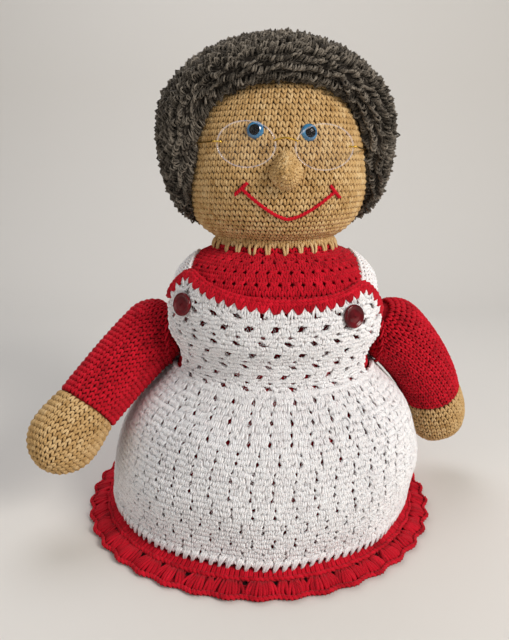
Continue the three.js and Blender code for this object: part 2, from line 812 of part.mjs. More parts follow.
function templeWire(way) {
  const start = lensEnd(way);
  const tip = templeTip(way);
  const front = -lensDistance - lens.thickness / 2 - wireRadius - seat;
  const lug = tiltedPoint(way * (lens.side + lens.halfWidth - 4), front, lensMiddle + 1);
  const corner = start.clone().setY(front);
  return yarn([lug, corner, start.clone().lerp(tip, 0.06), start.clone().lerp(tip, 0.5), tip], wireRadius, 12, 5);
}

// Arms, with the shoulder's centre at the origin and the arm running outwards and down.

function armPoint(pose, distance) {
  const [start, end] = [radians(pose.droopStart), radians(pose.droopEnd)];
  const bend = (end - start) / handDistance;
  const droop = start + bend * distance;
  const out = (Math.sin(droop) - Math.sin(start)) / bend;
  const down = (Math.cos(start) - Math.cos(droop)) / bend;
  return { centre: new THREE.Vector3(pose.side * out, 0, -down), droop };
}

function armSectionRadius(distance) {
  if (distance <= cuffDistance) return THREE.MathUtils.lerp(armRadius, cuffRadius, distance / cuffDistance);
  if (distance <= handDistance) {
    const share = (distance - cuffDistance) / (handDistance - cuffDistance);
    return THREE.MathUtils.lerp(cuffRadius, handRadius, Math.sin(share * Math.PI / 2));
  }
  const past = (distance - handDistance) / (handEnd - handDistance);
  return handRadius * Math.sqrt(Math.max(0, 1 - past ** 2));
}

function armRing(pose, distance, radius, sides) {
  const { centre, droop } = armPoint(pose, distance);
  const upward = new THREE.Vector3(pose.side * Math.sin(droop), 0, Math.cos(droop));
  const forward = new THREE.Vector3(0, 1, 0);
  return Array.from({ length: sides }, (_, i) => {
    const angle = 2 * Math.PI * i / sides;
    return centre.clone().addScaledVector(upward, radius * Math.cos(angle))
      .addScaledVector(forward, radius * Math.sin(angle));
  });
}

function armTube(pose, from, to, steps, shrink, sides) {
  const distances = Array.from({ length: steps + 1 }, (_, k) => THREE.MathUtils.lerp(from, to, k / steps));
  const rings = distances.map((distance) => armRing(pose, distance, armSectionRadius(distance) - shrink, sides));
  return ringStack(rings, armPoint(pose, from).centre, armPoint(pose, to).centre);
}

// The hand from its widest place to its tip, where the rings close on one point.
function handSolid(pose, from, shrink, sides = armSides) {
  const rings = [];
  for (let k = 0; k < 3; k += 1) {
    const distance = THREE.MathUtils.lerp(from, handDistance, k / 3);
    rings.push(armRing(pose, distance, armSectionRadius(distance) - shrink, sides));
  }
  const length = handEnd - handDistance - shrink;
  for (let k = 0; k < 5; k += 1) {
    const angle = Math.PI / 2 * k / 5;
    const radius = (handRadius - shrink) * Math.cos(angle);
    rings.push(armRing(pose, handDistance + length * Math.sin(angle), radius, sides));
  }
  const tip = armPoint(pose, handDistance + length).centre;
  return ringStack(rings, armPoint(pose, from).centre, tip);
}

function beyondFlat(pose, flat) {
  const size = 4 * armRadius;
  return new THREE.BoxGeometry(size, size, size).translate(-pose.side * (flat + size / 2), 0, 0);
}

function sleeveSolid(pose, shrink, reach, sides = armSides) {
  const tube = armTube(pose, 0, cuffDistance + reach, 4, shrink, sides);
  const flattened = subtract(tube, beyondFlat(pose, armFlat - shrink));
  return join(flattened, ball(armRadius - shrink, new THREE.Vector3(), sides));
}

function sleeve(pose) {
  return subtract(sleeveSolid(pose, 0, 0), sleeveSolid(pose, fabric, 2 * fabric));
}

function hand(pose) {
  return subtract(handSolid(pose, cuffDistance + seat, 0), handSolid(pose, cuffDistance - 2 * fabric, fabric));
}

function armStuffing(pose) {
  const shrink = fabric + 3 * seat;
  const sides = armSides - 6;
  return join(sleeveSolid(pose, shrink, 0, sides), handSolid(pose, cuffDistance - fabric, shrink, sides));
}

function shoulderSeam(pose) {
  return new THREE.TorusGeometry(shoulderSeamRing, shoulderSeamRadius, 5, 24).rotateY(Math.PI / 2)
    .translate(-pose.side * seamPlane, 0, 0);
}

// Materials

function finish(color, roughness, metalness = 0) {
  return () => new THREE.MeshStandardMaterial({ color, roughness, metalness });
}

const redYarn = finish(0xb40f1f, 0.85);
const whiteYarn = finish(0xe9e4e2, 0.85);
const skinYarn = finish(0xc79f66, 0.9);
const greyYarn = finish(0x4f4843, 0.9);
const filling = finish(0xf4f2ec, 0.95);
const cardboard = finish(0xb9a37c, 0.9);
const burgundyPlastic = finish(0x5c0a18, 0.25);
const blueEye = finish(0x2f6f9c, 0.2);
const washerPlastic = finish(0xf0f0ea, 0.5);
const goldWire = finish(0xd2a53a, 0.3, 1);
const clearPlastic = finish(0xeef4f6, 0.1);

// Assembly

const doll = new THREE.Group();
const head = new THREE.Group();
head.position.x = leanAt(neckBallHeight);
head.rotation.z = radians(headTurn);
doll.add(head);

function add(parent, name, geometry, material) {
  const mesh = new THREE.Mesh(geometry, material());
  mesh.name = name;
  parent.add(mesh);
}

add(doll, 'body_cover', bodyCover(), redYarn);
add(doll, 'body_stuffing', bodyStuffing(), filling);
add(doll, 'base_panel', basePanel(), redYarn);
add(doll, 'base_stiffener', baseStiffener(), cardboard);
add(doll, 'skirt_flounce', skirtFlounce(), redYarn);
add(doll, 'apron_skirt', apronSkirt(), whiteYarn);
add(doll, 'apron_bib', apronBib(), whiteYarn);
add(doll, 'bib_edging', bibEdging(), redYarn);
add(doll, 'neck_seam', neckSeam(), skinYarn);

add(head, 'head_cover', headCover(), skinYarn);
add(head, 'head_stuffing', headStuffing(), filling);
add(head, 'hair_cap', hairCap(), greyYarn);
add(head, 'nose_cover', noseCover(), skinYarn);
add(head, 'nose_stuffing', noseStuffing(), filling);
add(head, 'smile_yarn', smileYarn(), redYarn);
add(head, 'glasses_bridge', spectaclesBridge(), goldWire);

for (const [name, pose] of Object.entries(armPoses)) {
  const way = pose.side;
  add(doll, `${name}_strap`, strap(way), whiteYarn);
  add(doll, `${name}_button`, placeOnBib(button(), buttonPlaces[name]), burgundyPlastic);
  add(doll, `${name}_button_thread`, placeOnBib(buttonThread(), buttonPlaces[name]), redYarn);

  add(head, `${name}_eye`, placeOnFace(eyePiece(), eyeSide(way), eye.rise), blueEye);
  add(head, `${name}_eye_washer`, placeOnFace(eyeWasher(), eyeSide(way), eye.rise), washerPlastic);
  add(head, `${name}_mouth_tick`, mouthTick(way), redYarn);
  add(head, `${name}_lens`, lensPiece(way), clearPlastic);
  add(head, `${name}_temple`, templeWire(way), goldWire);

  const arm = new THREE.Group();
  arm.position.copy(shoulderCentres[name]);
  arm.rotation.x = radians(pose.swing);
  doll.add(arm);
  add(arm, `${name}_shoulder_seam`, shoulderSeam(pose), redYarn);
  add(arm, `${name}_sleeve`, sleeve(pose), redYarn);
  add(arm, `${name}_hand`, hand(pose), skinYarn);
  add(arm, `${name}_arm_stuffing`, armStuffing(pose), filling);
}

export default doll;
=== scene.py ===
import math

import bpy
import numpy as np
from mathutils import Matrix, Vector


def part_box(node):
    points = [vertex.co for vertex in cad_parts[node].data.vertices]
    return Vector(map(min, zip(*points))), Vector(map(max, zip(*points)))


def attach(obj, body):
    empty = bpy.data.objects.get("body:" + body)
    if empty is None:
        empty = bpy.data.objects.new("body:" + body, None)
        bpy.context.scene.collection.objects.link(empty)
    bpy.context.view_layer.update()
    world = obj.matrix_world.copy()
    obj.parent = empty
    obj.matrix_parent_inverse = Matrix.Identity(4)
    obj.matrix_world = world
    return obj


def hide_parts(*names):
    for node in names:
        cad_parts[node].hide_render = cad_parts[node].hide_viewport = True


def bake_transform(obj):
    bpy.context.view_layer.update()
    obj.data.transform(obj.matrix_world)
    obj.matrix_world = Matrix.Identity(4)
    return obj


# The looks of the crochet doll: every stitch, strand and fitting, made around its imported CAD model.
# Lengths are millimetres. The doll faces -Y, +Z is up, and left and right are as seen from in front.

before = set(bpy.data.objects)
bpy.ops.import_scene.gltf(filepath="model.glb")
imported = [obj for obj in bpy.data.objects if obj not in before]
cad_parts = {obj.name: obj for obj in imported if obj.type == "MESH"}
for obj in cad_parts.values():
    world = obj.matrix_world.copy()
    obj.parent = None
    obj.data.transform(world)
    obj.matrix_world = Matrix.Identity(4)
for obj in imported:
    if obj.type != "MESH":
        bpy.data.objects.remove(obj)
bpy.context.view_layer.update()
METRE = 0.001


# Sizes shared with the part's source

fabric = 3
cloth_ease = 0.6
lean_width = 13
lean_height = 150

dress_places = [
    (122, 0), (124.5, 36), (124.5, 58), (111, 93), (87, 118.5), (77.5, 130), (83, 162), (80.5, 194),
    (65, 213), (48, 220.6),
]
flounce_reach = 23
flounce_drop = 8.5
flounce_thickness = 3.6
scallop_count = 40
scallop_depth = 1.6

apron_top = 124.7
apron_band = 12
apron_panel_angle = 108
apron_fold_count = 9
apron_fold_depth = 0.9
bib_top = 188
bib_corner_rise = 10
bib_half_angle = 63
bib_turn = -2
bib_tilt = 4
bib_corner_angle = 48
bib_rise_start = 42
bib_rise_end = 24
strap_width = 22
strap_way = [
    (56, 0.566), (58, 0.681), (71, 0.816), (90, 0.874), (109, 0.827), (123, 0.723), (134, 0.525),
    (141, 0.316), (143, 0.16), (143, 0),
]
button_radius = 8
button_places = {"left": (-48.5, 3), "right": (36, 8)}

neck_ball_radius = 47.5
neck_ball_height = 242
head_turn = 3
head_places = [(57, 239), (66, 251), (71.5, 271)]
crown_height = 364
hair_places = [(58, 236), (80, 255), (91.2, 292), (88, 333), (60, 364), (20, 379.5), (0, 381)]

face_tilt = 2
face_middle = 285
eyes_middle = -1.5
eye_side = 18
eye_height = 307
eye_radius = 6
nose_side = 1.5
nose_height = 281
nose_half_width = 11.8
nose_half_height = 13.5
nose_yarn = 2.0
nose_reach = 11.5
mouth_side = 4.5
mouth_half_width = 31.5
mouth_corner_height = 268.5
mouth_height = 249.5
mouth_tick_length = 11
mouth_yarn_radius = 1.15

lens_side = 26
lens_height = 297.5
lens_half_width = 20
lens_half_height = 15.3
lens_thickness = 1.4
lens_distance = 76
wire_radius = 0.6
bridge_rise = 5
temple_length = 68
temple_splay = 20.5

shoulder_distance = 100
shoulder_height = 150
arm_radius = 27
cuff_radius = 24.5
cuff_distance = 84
hand_radius = 27
hand_distance = 108
hand_end = 137
arm_poses = {
    "left": {"side": -1, "depth": -5, "droop": (49, 61), "swing": -40},
    "right": {"side": 1, "depth": 0, "droop": (44, 78), "swing": 22},
}

# Sizes that only the looks have

# A single crochet stitch, one leg of its yarn, and how far the cloth lies under the stitches.
stitch_width = 4.3
stitch_height = 4.4
leg_radius = 1.05
cloth_depth = 1.3

# How far the stuffing lies under the surface of the body and of the head, and the arms' parts under theirs.
body_filling_bottom = 9
body_filling_depth = 2.6
head_filling_depth = 4
arm_stitch_depth = 0.8
arm_cloth_depth = 2.1
arm_filling_depth = 4.8

# The hollows for the arms, in the dress and in its stuffing, are larger than the arms' ends by these.
hollow_ease = 2.6
filling_hollow_ease = 5
bar_radius = 23.5

# Heights at which the dress's cloth ends, its yoke starts, and the apron's lace is cut into two pieces.
dress_cloth_top = 206
yoke_cloth_bottom = 204
yoke_height = 196
lace_cut_height = 66

# The flounce's row of small holes: how far out it lies, and half the size of a hole.
flounce_hole_radius = 134
flounce_hole_half_width = 1.7
flounce_hole_half_reach = 1.8

# How far the middle of each white cloth lies over the dress, and how the apron's waves over it.
apron_lift = 1.6
bib_cloth_lift = 1.2
strap_lift = 1.9
apron_ripple_depth = 0.7
apron_press_depth = 1.3
apron_press_places = [(-81, 106), (92, 97)]
apron_press_width = 13
apron_press_height = 26

# Edges: steps along them from one point of yarn to the next, and how softly the hem turns up at the side.
corner_softness = 14
hem_pitch = 6.6
chain_pitch = 3.6
edging_pitch = 8.0
band_radius = 84
band_pitch = 4.0
band_rows = 3

# Fine hairs that stand off the yarn: how many on each piece, and their sizes.
apron_hairs = 9000
bib_hairs = 2600
head_hairs = 6000
white_hair = {"length": 3.6, "lift": 1.2, "rise": 1.5}
grey_hair = {"length": 4.0, "lift": -1.2, "rise": 1.6}
fine_hair_radius = 0.13

# Where the hair's edge lies on the head: an angle from the middle of the brow, and a height.
hair_rim_turn = 3.5
hair_rim = np.array([
    (0, 344), (20, 343), (36, 340), (50, 335.5), (57.5, 331), (60, 325), (63, 313), (63.2, 303),
    (63.4, 295), (63.6, 287), (66, 279), (69, 270), (73, 261), (79, 252), (88, 245.5), (100, 242),
    (120, 240), (150, 239.2), (180, 239),
], float)

# The hair's ridges of looped yarn, which run from a roll round the face to a pole at the back of the crown.
hair_middle = np.array([0.0, 0.0, 300.0])
hair_pole_rise = 54
hair_radius = 88
hair_meridian = 180.0
hair_rows = 23
hair_loop_pitch = 1.35
hair_valley_pitch = 2.6
hair_loop_length = 5.8
hair_loop_radius = 0.8
hair_wave_length = 19
hair_wave_depth = 3.0
hair_root_depth = 5.8
hair_cloth_depth = 4.8
hair_crest = 5.2
hair_valley_crest = 1.0

# The collar and the bottom rounds of the head, as radii and heights, and where the one ends.
neck_places = [(48.2, 218.6), (47.7, 221.5), (46.6, 226), (45.8, 231)]
collar_top = 225.8
head_rounds_bottom = 229
head_rounds_top = 352

# The nose's rounds, and how far its cloth and its stuffing lie under its surface.
nose_rows = 6
nose_row_height = 3.4
nose_stitch_width = 3.7
nose_leg_radius = 1.15
nose_cloth_depth = 0.7
nose_filling_depth = 3.2

# The whip stitches round the neck, and the stitches round each shoulder.
whip_pairs = 26
whip_foot = 219.4
whip_height = 9.0
whip_radius = 1.15
seam_stitch_count = 22
seam_stitch_radius = 0.9
seam_stitch_reach = 1.6


# Camera, at the photograph's place

camera_place = (-3.2, -490, 283)
camera_pitch = 14.2
focal_length_px = 600
image_height_px = 640


def make_camera():
    data = bpy.data.cameras.new("camera")
    data.sensor_fit = "VERTICAL"
    data.sensor_height = 36
    data.lens = data.sensor_height * focal_length_px / image_height_px
    data.clip_start = 0.01
    camera = bpy.data.objects.new("camera", data)
    camera.location = Vector(camera_place) * METRE
    camera.rotation_euler = (math.radians(90 - camera_pitch), 0, 0)
    bpy.context.scene.collection.objects.link(camera)
    bpy.context.scene.camera = camera


make_camera()


# Small helpers for numbers

def smoothstep(value, low, high):
    share = np.clip((np.asarray(value, float) - low) / (high - low), 0, 1)
    return share * share * (3 - 2 * share)


def rows_of(*columns):
    """Columns side by side, each of them a number or an array."""
    return np.stack(np.broadcast_arrays(*columns), axis=-1).astype(float)


def ring_of(count):
    """Angles at equal steps, all the way round."""
    return 2 * np.pi * np.arange(count) / count


def interpolate(at, stations, values):
    """Values between stations, where each station has one number or one row of numbers."""
    values = np.asarray(values, float)
    if values.ndim == 1:
        return np.interp(at, stations, values)
    return np.stack([np.interp(at, stations, column) for column in values.T], axis=-1)


def unit(vectors):
    return vectors / np.maximum(np.linalg.norm(vectors, axis=-1, keepdims=True), 1e-9)


def reached_along(line):
    """How far along a line each of its points lies."""
    return np.concatenate([[0], np.cumsum(np.linalg.norm(np.diff(line, axis=0), axis=1))])


def evenly(line, count):
    """The line again, as this many points at equal distances."""
    line = np.asarray(line, float)
    reached = reached_along(line)
    return interpolate(np.linspace(0, reached[-1], count), reached, line)


def smooth_line(knots, count, steps=24):
    """A smooth curve through the knots, worked out in so many steps a span, as points at equal distances."""
    knots = np.asarray(knots, float)
    knots = np.vstack([2 * knots[0] - knots[1], knots, 2 * knots[-1] - knots[-2]])
    times = np.concatenate([[0], np.cumsum(np.linalg.norm(np.diff(knots, axis=0), axis=1) ** 0.5)])

    def between(first, second, start, end, time):
        share = ((time - start) / (end - start))[:, None]
        return first * (1 - share) + second * share

    spans = []
    for k in range(1, len(knots) - 2):
        p, t = knots[k - 1:k + 3], times[k - 1:k + 3]
        time = np.linspace(t[1], t[2], steps, endpoint=False)
        low, middle, high = (between(p[i], p[i + 1], t[i], t[i + 1], time) for i in range(3))
        early = between(low, middle, t[0], t[2], time)
        late = between(middle, high, t[1], t[3], time)
        spans.append(between(early, late, t[1], t[2], time))
    return evenly(np.vstack([*spans, knots[-2:-1]]), count)


def turned_about(points, axis, degrees):
    """Points turned about the line of an axis through the origin."""
    k = 0 if axis == "x" else 1 if axis == "y" else 2
    u, v = (k + 1) % 3, (k + 2) % 3
    points = np.array(points, float)
    cos, sin = math.cos(math.radians(degrees)), math.sin(math.radians(degrees))
    first, second = points[..., u].copy(), points[..., v].copy()
    points[..., u] = cos * first - sin * second
    points[..., v] = sin * first + cos * second
    return points


# Forms

class Form:
    """A shape turned round an axis. A place on it is an angle from the front and a length up its outline."""

    def __init__(self, outline, axis, lumps=0.0):
        outline = np.asarray(outline, float)
        self.lengths = reached_along(outline)
        self.length = self.lengths[-1]
        self.radii, self.stations = outline.T
        slope = unit(np.gradient(outline, self.lengths, axis=0))
        self.tilts = np.stack([slope[:, 1], -slope[:, 0]], axis=1)
        self.frames = np.concatenate(axis(self.stations), axis=1)
        self.lumps = lumps

    def length_at(self, station):
        return np.interp(station, self.stations, self.lengths)

    def radius_at(self, length):
        return np.interp(length, self.lengths, self.radii)

    def radius_at_height(self, height):
        return np.interp(height, self.stations, self.radii)

    def place(self, angle, length, lift=0.0):
        """Points and outward directions. The lumps are two slow waves that fade where the form is narrow."""
        angle, length, lift = np.broadcast_arrays(*(np.asarray(x, float) for x in (angle, length, lift)))
        frames = interpolate(length, self.lengths, self.frames)
        centre, front, side, along = np.split(frames, 4, axis=-1)
        tilt = interpolate(length, self.lengths, self.tilts)
        radial = front * np.cos(angle)[..., None] + side * np.sin(angle)[..., None]
        normal = radial * tilt[..., :1] + along * tilt[..., 1:]
        swell = np.sin(3 * angle + length / 23) + np.sin(5 * angle - length / 17 + 1.7)
        fade = np.clip(self.radius_at(length) / 20, 0, 1)
        out = lift + self.lumps * fade * swell / 2
        point = centre + radial * self.radius_at(length)[..., None] + normal * out[..., None]
        return point, normal


def lean_at(height):
    share = np.clip(np.asarray(height, float) / lean_height, 0, 1)
    return lean_width * np.sin(share * np.pi / 2)


def upright_axis(middle, turn=0):
    """An upright axis for a form: its middle at each height, and its front turned by so many degrees."""
    def axis(height):
        zero = 0 * height
        ways = (rows_of(zero, -1, 0), rows_of(zero + 1, 0, 0), rows_of(zero, 0, 1))
        return (middle(height), *(turned_about(way, "z", turn) for way in ways))

    return axis


body_axis = upright_axis(lambda height: rows_of(lean_at(height), 0, height))
head_axis = upright_axis(lambda height: rows_of(lean_width, 0, height), head_turn)


def shoulder_centre(pose):
    out = lean_at(shoulder_height) + pose["side"] * shoulder_distance
    return np.array([out, pose["depth"], shoulder_height])


def arm_axis(pose):
    """The bent line of an arm, which starts at the middle of the shoulder."""
    side, (start, end) = pose["side"], np.radians(pose["droop"])
    bend = (end - start) / hand_distance

    def axis(distance):
        droop = start + bend * distance
        out = (np.sin(droop) - np.sin(start)) / bend
        down = (np.cos(start) - np.cos(droop)) / bend
        parts = (
            rows_of(side * out, 0, -down), rows_of(side * np.sin(droop), 0, np.cos(droop)),
            rows_of(0 * distance, side, 0), rows_of(side * np.cos(droop), 0, -np.sin(droop)),
        )
        centre, *directions = (turned_about(part, "x", pose["swing"]) for part in parts)
        return (centre + shoulder_centre(pose), *directions)

    return axis


dress_form = Form(smooth_line(dress_places, 160), body_axis, lumps=0.7)
dress_neck = dress_form.length
yoke_start = dress_form.length_at(yoke_height)


def head_outline():
    """A short part of the neck's ball, the cheeks, and the crown as a quarter of an ellipse."""
    ball = [
        (neck_ball_radius * math.cos(a), neck_ball_height + neck_ball_radius * math.sin(a))
        for a in (math.radians(-20.5), math.radians(-16.5), math.radians(-12.6))
    ]
    cheek_radius, cheek_height = head_places[-1]
    crown = [
        (cheek_radius * math.cos(a), cheek_height + (crown_height - cheek_height) * math.sin(a))
        for a in np.linspace(0.12, math.pi / 2, 14)
    ]
    return smooth_line([*ball, *head_places, *crown[:-1], (0.01, crown_height)], 140)


head_form = Form(head_outline(), head_axis, lumps=0.5)
hair_form = Form(smooth_line(hair_places, 140), head_axis)


def arm_outline(start, end):
    """Radius and distance along the arm, from the sleeve's ball to the tip of the hand."""
    distance = np.linspace(start, hand_distance, 60)
    share = np.clip((distance - cuff_distance) / (hand_distance - cuff_distance), 0, 1)
    radius = np.where(
        distance <= cuff_distance,
        arm_radius + (cuff_radius - arm_radius) * distance / cuff_distance,
        cuff_radius + (hand_radius - cuff_radius) * np.sin(share * np.pi / 2),
    )
    turn = np.linspace(0.08, np.pi / 2, 24)
    tip = rows_of(hand_radius * np.cos(turn), hand_distance + (hand_end - hand_distance) * np.sin(turn))
    line = np.vstack([rows_of(radius, distance), tip])
    return line[line[:, 1] <= end]


# Meshes from arrays of points

def make_object(name, points, faces, maps, shades=None):
    """A smooth mesh. Faces are arrays of corner numbers, and maps have a pair for each corner of each."""
    counts = np.concatenate([np.full(len(part), part.shape[1]) for part in faces])
    starts = np.concatenate([[0], np.cumsum(counts)[:-1]])
    mesh = bpy.data.meshes.new(name)
    mesh.vertices.add(len(points))
    mesh.vertices.foreach_set("co", (np.asarray(points) * METRE).astype(np.float32).ravel())
    mesh.loops.add(int(counts.sum()))
    mesh.loops.foreach_set("vertex_index", np.concatenate([p.ravel() for p in faces]).astype(np.int32))
    mesh.polygons.add(len(counts))
    mesh.polygons.foreach_set("loop_start", starts.astype(np.int32))
    mesh.update(calc_edges=True)
    for map_name, parts in maps.items():
        layer = mesh.uv_layers.new(name=map_name, do_init=False)
        places = np.concatenate([p.reshape(-1, 2) for p in parts])
        layer.uv.foreach_set("vector", places.astype(np.float32).ravel())
    if shades is not None:
        shade = mesh.attributes.new("shade", "FLOAT", "POINT")
        shade.data.foreach_set("value", np.asarray(shades, np.float32))
    mesh.shade_smooth()
    made = bpy.data.objects.new(name, mesh)
    bpy.context.scene.collection.objects.link(made)
    return made


def finish_piece(piece, material, body=None, replaces=()):
    piece.data.materials.append(material)
    if body:
        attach(piece, body)
    if replaces:
        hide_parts(*replaces)
    return piece


def grid_faces(rows, columns, wrapped):
    """Four-cornered faces over a grid of points, and their places on a map."""
    across = columns if wrapped else columns - 1
    row, column = np.meshgrid(np.arange(rows - 1), np.arange(across), indexing="ij")
    after = (column + 1) % columns
    near, far = row * columns, (row + 1) * columns
    faces = np.stack([near + column, near + after, far + after, far + column], axis=-1)
    u, v = column / across, row / (rows - 1)
    step_u, step_v = 1 / across, 1 / (rows - 1)
    corners = [(u, v), (u + step_u, v), (u + step_u, v + step_v), (u, v + step_v)]
    places = np.stack([rows_of(*corner) for corner in corners], axis=-2)
    return faces.reshape(-1, 4), places.reshape(-1, 4, 2)


def facing_out(points, faces):
    """Whether the faces enclose more than nothing, as they do when they face outwards."""
    corners = np.vstack([part[:, :3] for part in faces])
    a, b, c = (points[corners[:, k]] for k in range(3))
    return np.einsum("ij,ij->i", a - points.mean(axis=0), np.cross(b - a, c - a)).sum() >= 0


def grid_object(name, points, wrapped=False, closed=False, stays=None):
    """A mesh over a grid of points. A closed one is made to face outwards, and stays picks faces to keep."""
    faces, places = grid_faces(*points.shape[:2], wrapped)
    points = points.reshape(-1, 3)
    if closed and not facing_out(points, [faces]):
        faces, places = faces[:, ::-1], places[:, ::-1]
    if stays:
        chosen = stays(faces)
        faces, places = faces[chosen], places[chosen]
    return make_object(name, points, [faces], {"OFBake": [places]})


def skin_of(name, form, start, end, lift, columns=96, rows=60, dent=None):
    """The cloth under the stitches: a form's surface, closed with a fan at each end."""
    angle, length = np.meshgrid(ring_of(columns), np.linspace(start, end, rows))
    points, _ = form.place(angle, length, lift(angle, length) if callable(lift) else lift)
    points = points.reshape(-1, 3)
    if dent:
        points = dent(points)
    faces, places = grid_faces(rows, columns, wrapped=True)
    ring = np.arange(columns)
    after = (ring + 1) % columns
    last = (rows - 1) * columns
    parts = [
        faces,
        rows_of(len(points), after, ring).astype(int),
        rows_of(len(points) + 1, last + ring, last + after).astype(int),
    ]
    maps = [places * [1, 0.96] + [0, 0.02]]
    for pole, rim in ((0.0, 0.01), (1.0, 0.99)):
        across = (ring + 0.5) / columns, (ring + 1) / columns, ring / columns
        corners = [rows_of(u, v) for u, v in zip(across, (pole, rim, rim))]
        maps.append(np.stack(corners, axis=1))
    points = np.vstack([points, points[:columns].mean(axis=0), points[-columns:].mean(axis=0)])
    if not facing_out(points, parts):
        parts, maps = [p[:, ::-1] for p in parts], [m[:, ::-1] for m in maps]
    return make_object(name, points, parts, {"OFBake": maps})


# Yarn: many short strands in one mesh

def tube_points(paths, normals, radii, sides):
    """Rings of points round each path. Normals point away from the cloth and keep rings from twisting."""
    along = unit(np.gradient(paths, axis=1))
    across = unit(np.cross(along, normals))
    upright = np.cross(across, along)
    turn = ring_of(sides)
    ring = across[:, :, None] * np.cos(turn)[:, None] + upright[:, :, None] * np.sin(turn)[:, None]
    return paths[:, :, None] + radii[:, :, None, None] * ring


def tube_faces(count, sections, sides, first):
    strand, section, side = np.meshgrid(
        np.arange(count), np.arange(sections - 1), np.arange(sides), indexing="ij"
    )
    ring = first + (strand * sections + section) * sides
    after = (side + 1) % sides
    quads = np.stack([ring + side, ring + sides + side, ring + sides + after, ring + after], axis=-1)
    start = first + np.arange(count)[:, None] * sections * sides + np.arange(sides)
    caps = np.concatenate([start, (start + (sections - 1) * sides)[:, ::-1]])
    return quads.reshape(-1, 4), caps


def tube_maps(paths, sides, first, total):
    """Where each face lies on the map for baking, and on the yarn's own, which is millimetres along a strand
    and turns round it."""
    count, sections = paths.shape[:2]
    cells = math.ceil(math.sqrt(total))
    index = first + np.arange(count)
    corner = np.stack([index % cells, index // cells], axis=1) / cells
    size = 0.94 / cells
    section, side = np.meshgrid(np.arange(sections - 1), np.arange(sides), indexing="ij")
    corners = [(section, side), (section + 1, side), (section + 1, side + 1), (section, side + 1)]
    share = [rows_of(0.08 + 0.84 * u / (sections - 1), v / sides) for u, v in corners]
    share = np.stack(share, axis=-2).reshape(-1, 4, 2)
    turn = ring_of(sides)
    cap = rows_of(0.04 + 0.03 * np.cos(turn), 0.5 + 0.4 * np.sin(turn))
    quads = corner[:, None, None] + size * share
    start_caps = corner[:, None] + size * cap
    end_caps = corner[:, None] + size * (cap + [0.92, 0])[::-1]
    step = np.linalg.norm(np.diff(paths, axis=1), axis=2)
    reached = np.concatenate([np.zeros((count, 1)), np.cumsum(step, axis=1)], axis=1)
    along = reached[:, np.stack([u for u, _ in corners], axis=-1).reshape(-1, 4)]
    around = np.stack([v / sides for _, v in corners], axis=-1).reshape(-1, 4)
    yarn = rows_of(along, around)
    yarn_caps = np.zeros((2 * count, sides, 2))
    bake_caps = np.concatenate([start_caps, end_caps])
    return quads.reshape(-1, 4, 2), bake_caps, yarn.reshape(-1, 4, 2), yarn_caps


def yarn_object(name, strands, sides=5):
    """One mesh of all the strands: groups of paths, normals, radii and shades."""
    strands = [group for group in strands if len(group[0])]
    total = sum(len(group[0]) for group in strands)
    points, faces, bake, yarn, shades = [], [], [], [], []
    first_point = first_strand = 0
    for paths, normals, radii, shade in strands:
        count, sections = paths.shape[:2]
        rings = tube_points(paths, normals, radii, sides).reshape(-1, 3)
        quads, caps = tube_faces(count, sections, sides, first_point)
        quad_bake, cap_bake, quad_yarn, cap_yarn = tube_maps(paths, sides, first_strand, total)
        points.append(rings)
        faces += [quads, caps]
        bake += [quad_bake, cap_bake]
        yarn += [quad_yarn, cap_yarn]
        shades.append(np.repeat(shade, sections * sides))
        first_point += len(rings)
        first_strand += count
    return make_object(
        name, np.concatenate(points), faces, {"OFBake": bake, "Yarn": yarn}, np.concatenate(shades)
    )


def add_yarn(name, strands, material, body=None, replaces=(), sides=5):
    return finish_piece(yarn_object(name, strands, sides), material, body, replaces)


# Stitches

def both_legs(*leg):
    """A leg and its mirror image. Each point of it says where it lies across, in stitch widths, and along,
    in stitch heights, and its lift and thickness in yarn radii."""
    return [[(side * across, *rest) for across, *rest in leg] for side in (-1, 1)]


SINGLE_LEGS = both_legs(
    (0.04, -0.16, -0.9, 0.7), (0.13, 0.06, 0.35, 0.98), (0.25, 0.4, 0.85, 1.06), (0.35, 0.72, 0.4, 0.98),
    (0.39, 0.94, -0.9, 0.68),
)
POST_LEGS = both_legs(
    (0.2, -0.16, -0.5, 0.8), (0.24, 0.12, 0.5, 1.0), (0.2, 0.45, 0.8, 1.02), (0.22, 0.78, 0.5, 1.0),
    (0.1, 1.05, -0.5, 0.8),
)
LACE_LEGS = both_legs(
    (0.08, -0.25, -0.35, 0.85), (0.16, 0.06, 0.35, 1.0), (0.25, 0.4, 0.75, 1.08), (0.32, 0.75, 0.35, 1.0),
    (0.37, 1.05, -0.35, 0.8),
)
ROPE_LEGS = [[
    (-0.75, -0.16, -0.5, 0.8), (-0.35, -0.1, 0.5, 1.05), (0.0, 0.0, 0.85, 1.1), (0.35, 0.1, 0.5, 1.05),
    (0.75, 0.16, -0.5, 0.8),
]]


def stitches(
    legs, surface, random, across, along, width, height, radius, lift=0.0, slant=0.0, stray=0.03,
):
    """Strands of one stitch at many places of a surface, which takes across, along and lift."""
    across, along, width, slant = (
        np.broadcast_to(np.asarray(x, float), np.shape(across)) for x in (across, along, width, slant)
    )
    made = []
    wander = random.normal(0, stray, (len(across), 2))
    shade = np.clip(random.normal(0.5, 0.2, len(across)), 0, 1)
    for leg in legs:
        x, y, rise, thickness = np.asarray(leg, float).T
        grow = 1 + random.normal(0, 0.05, len(across))
        turn = random.normal(0, stray, len(across))[:, None] * (y - 0.4)
        place_x = across[:, None] + width[:, None] * (x + slant[:, None] * y + wander[:, :1] + 2 * turn)
        place_y = along[:, None] + height * (y + wander[:, 1:])
        points, normals = surface(place_x, place_y, lift + radius * rise * grow[:, None])
        radii = radius * thickness * grow[:, None]
        made.append((points, normals, radii, np.clip(shade + random.normal(0, 0.08, len(shade)), 0, 1)))
    return made


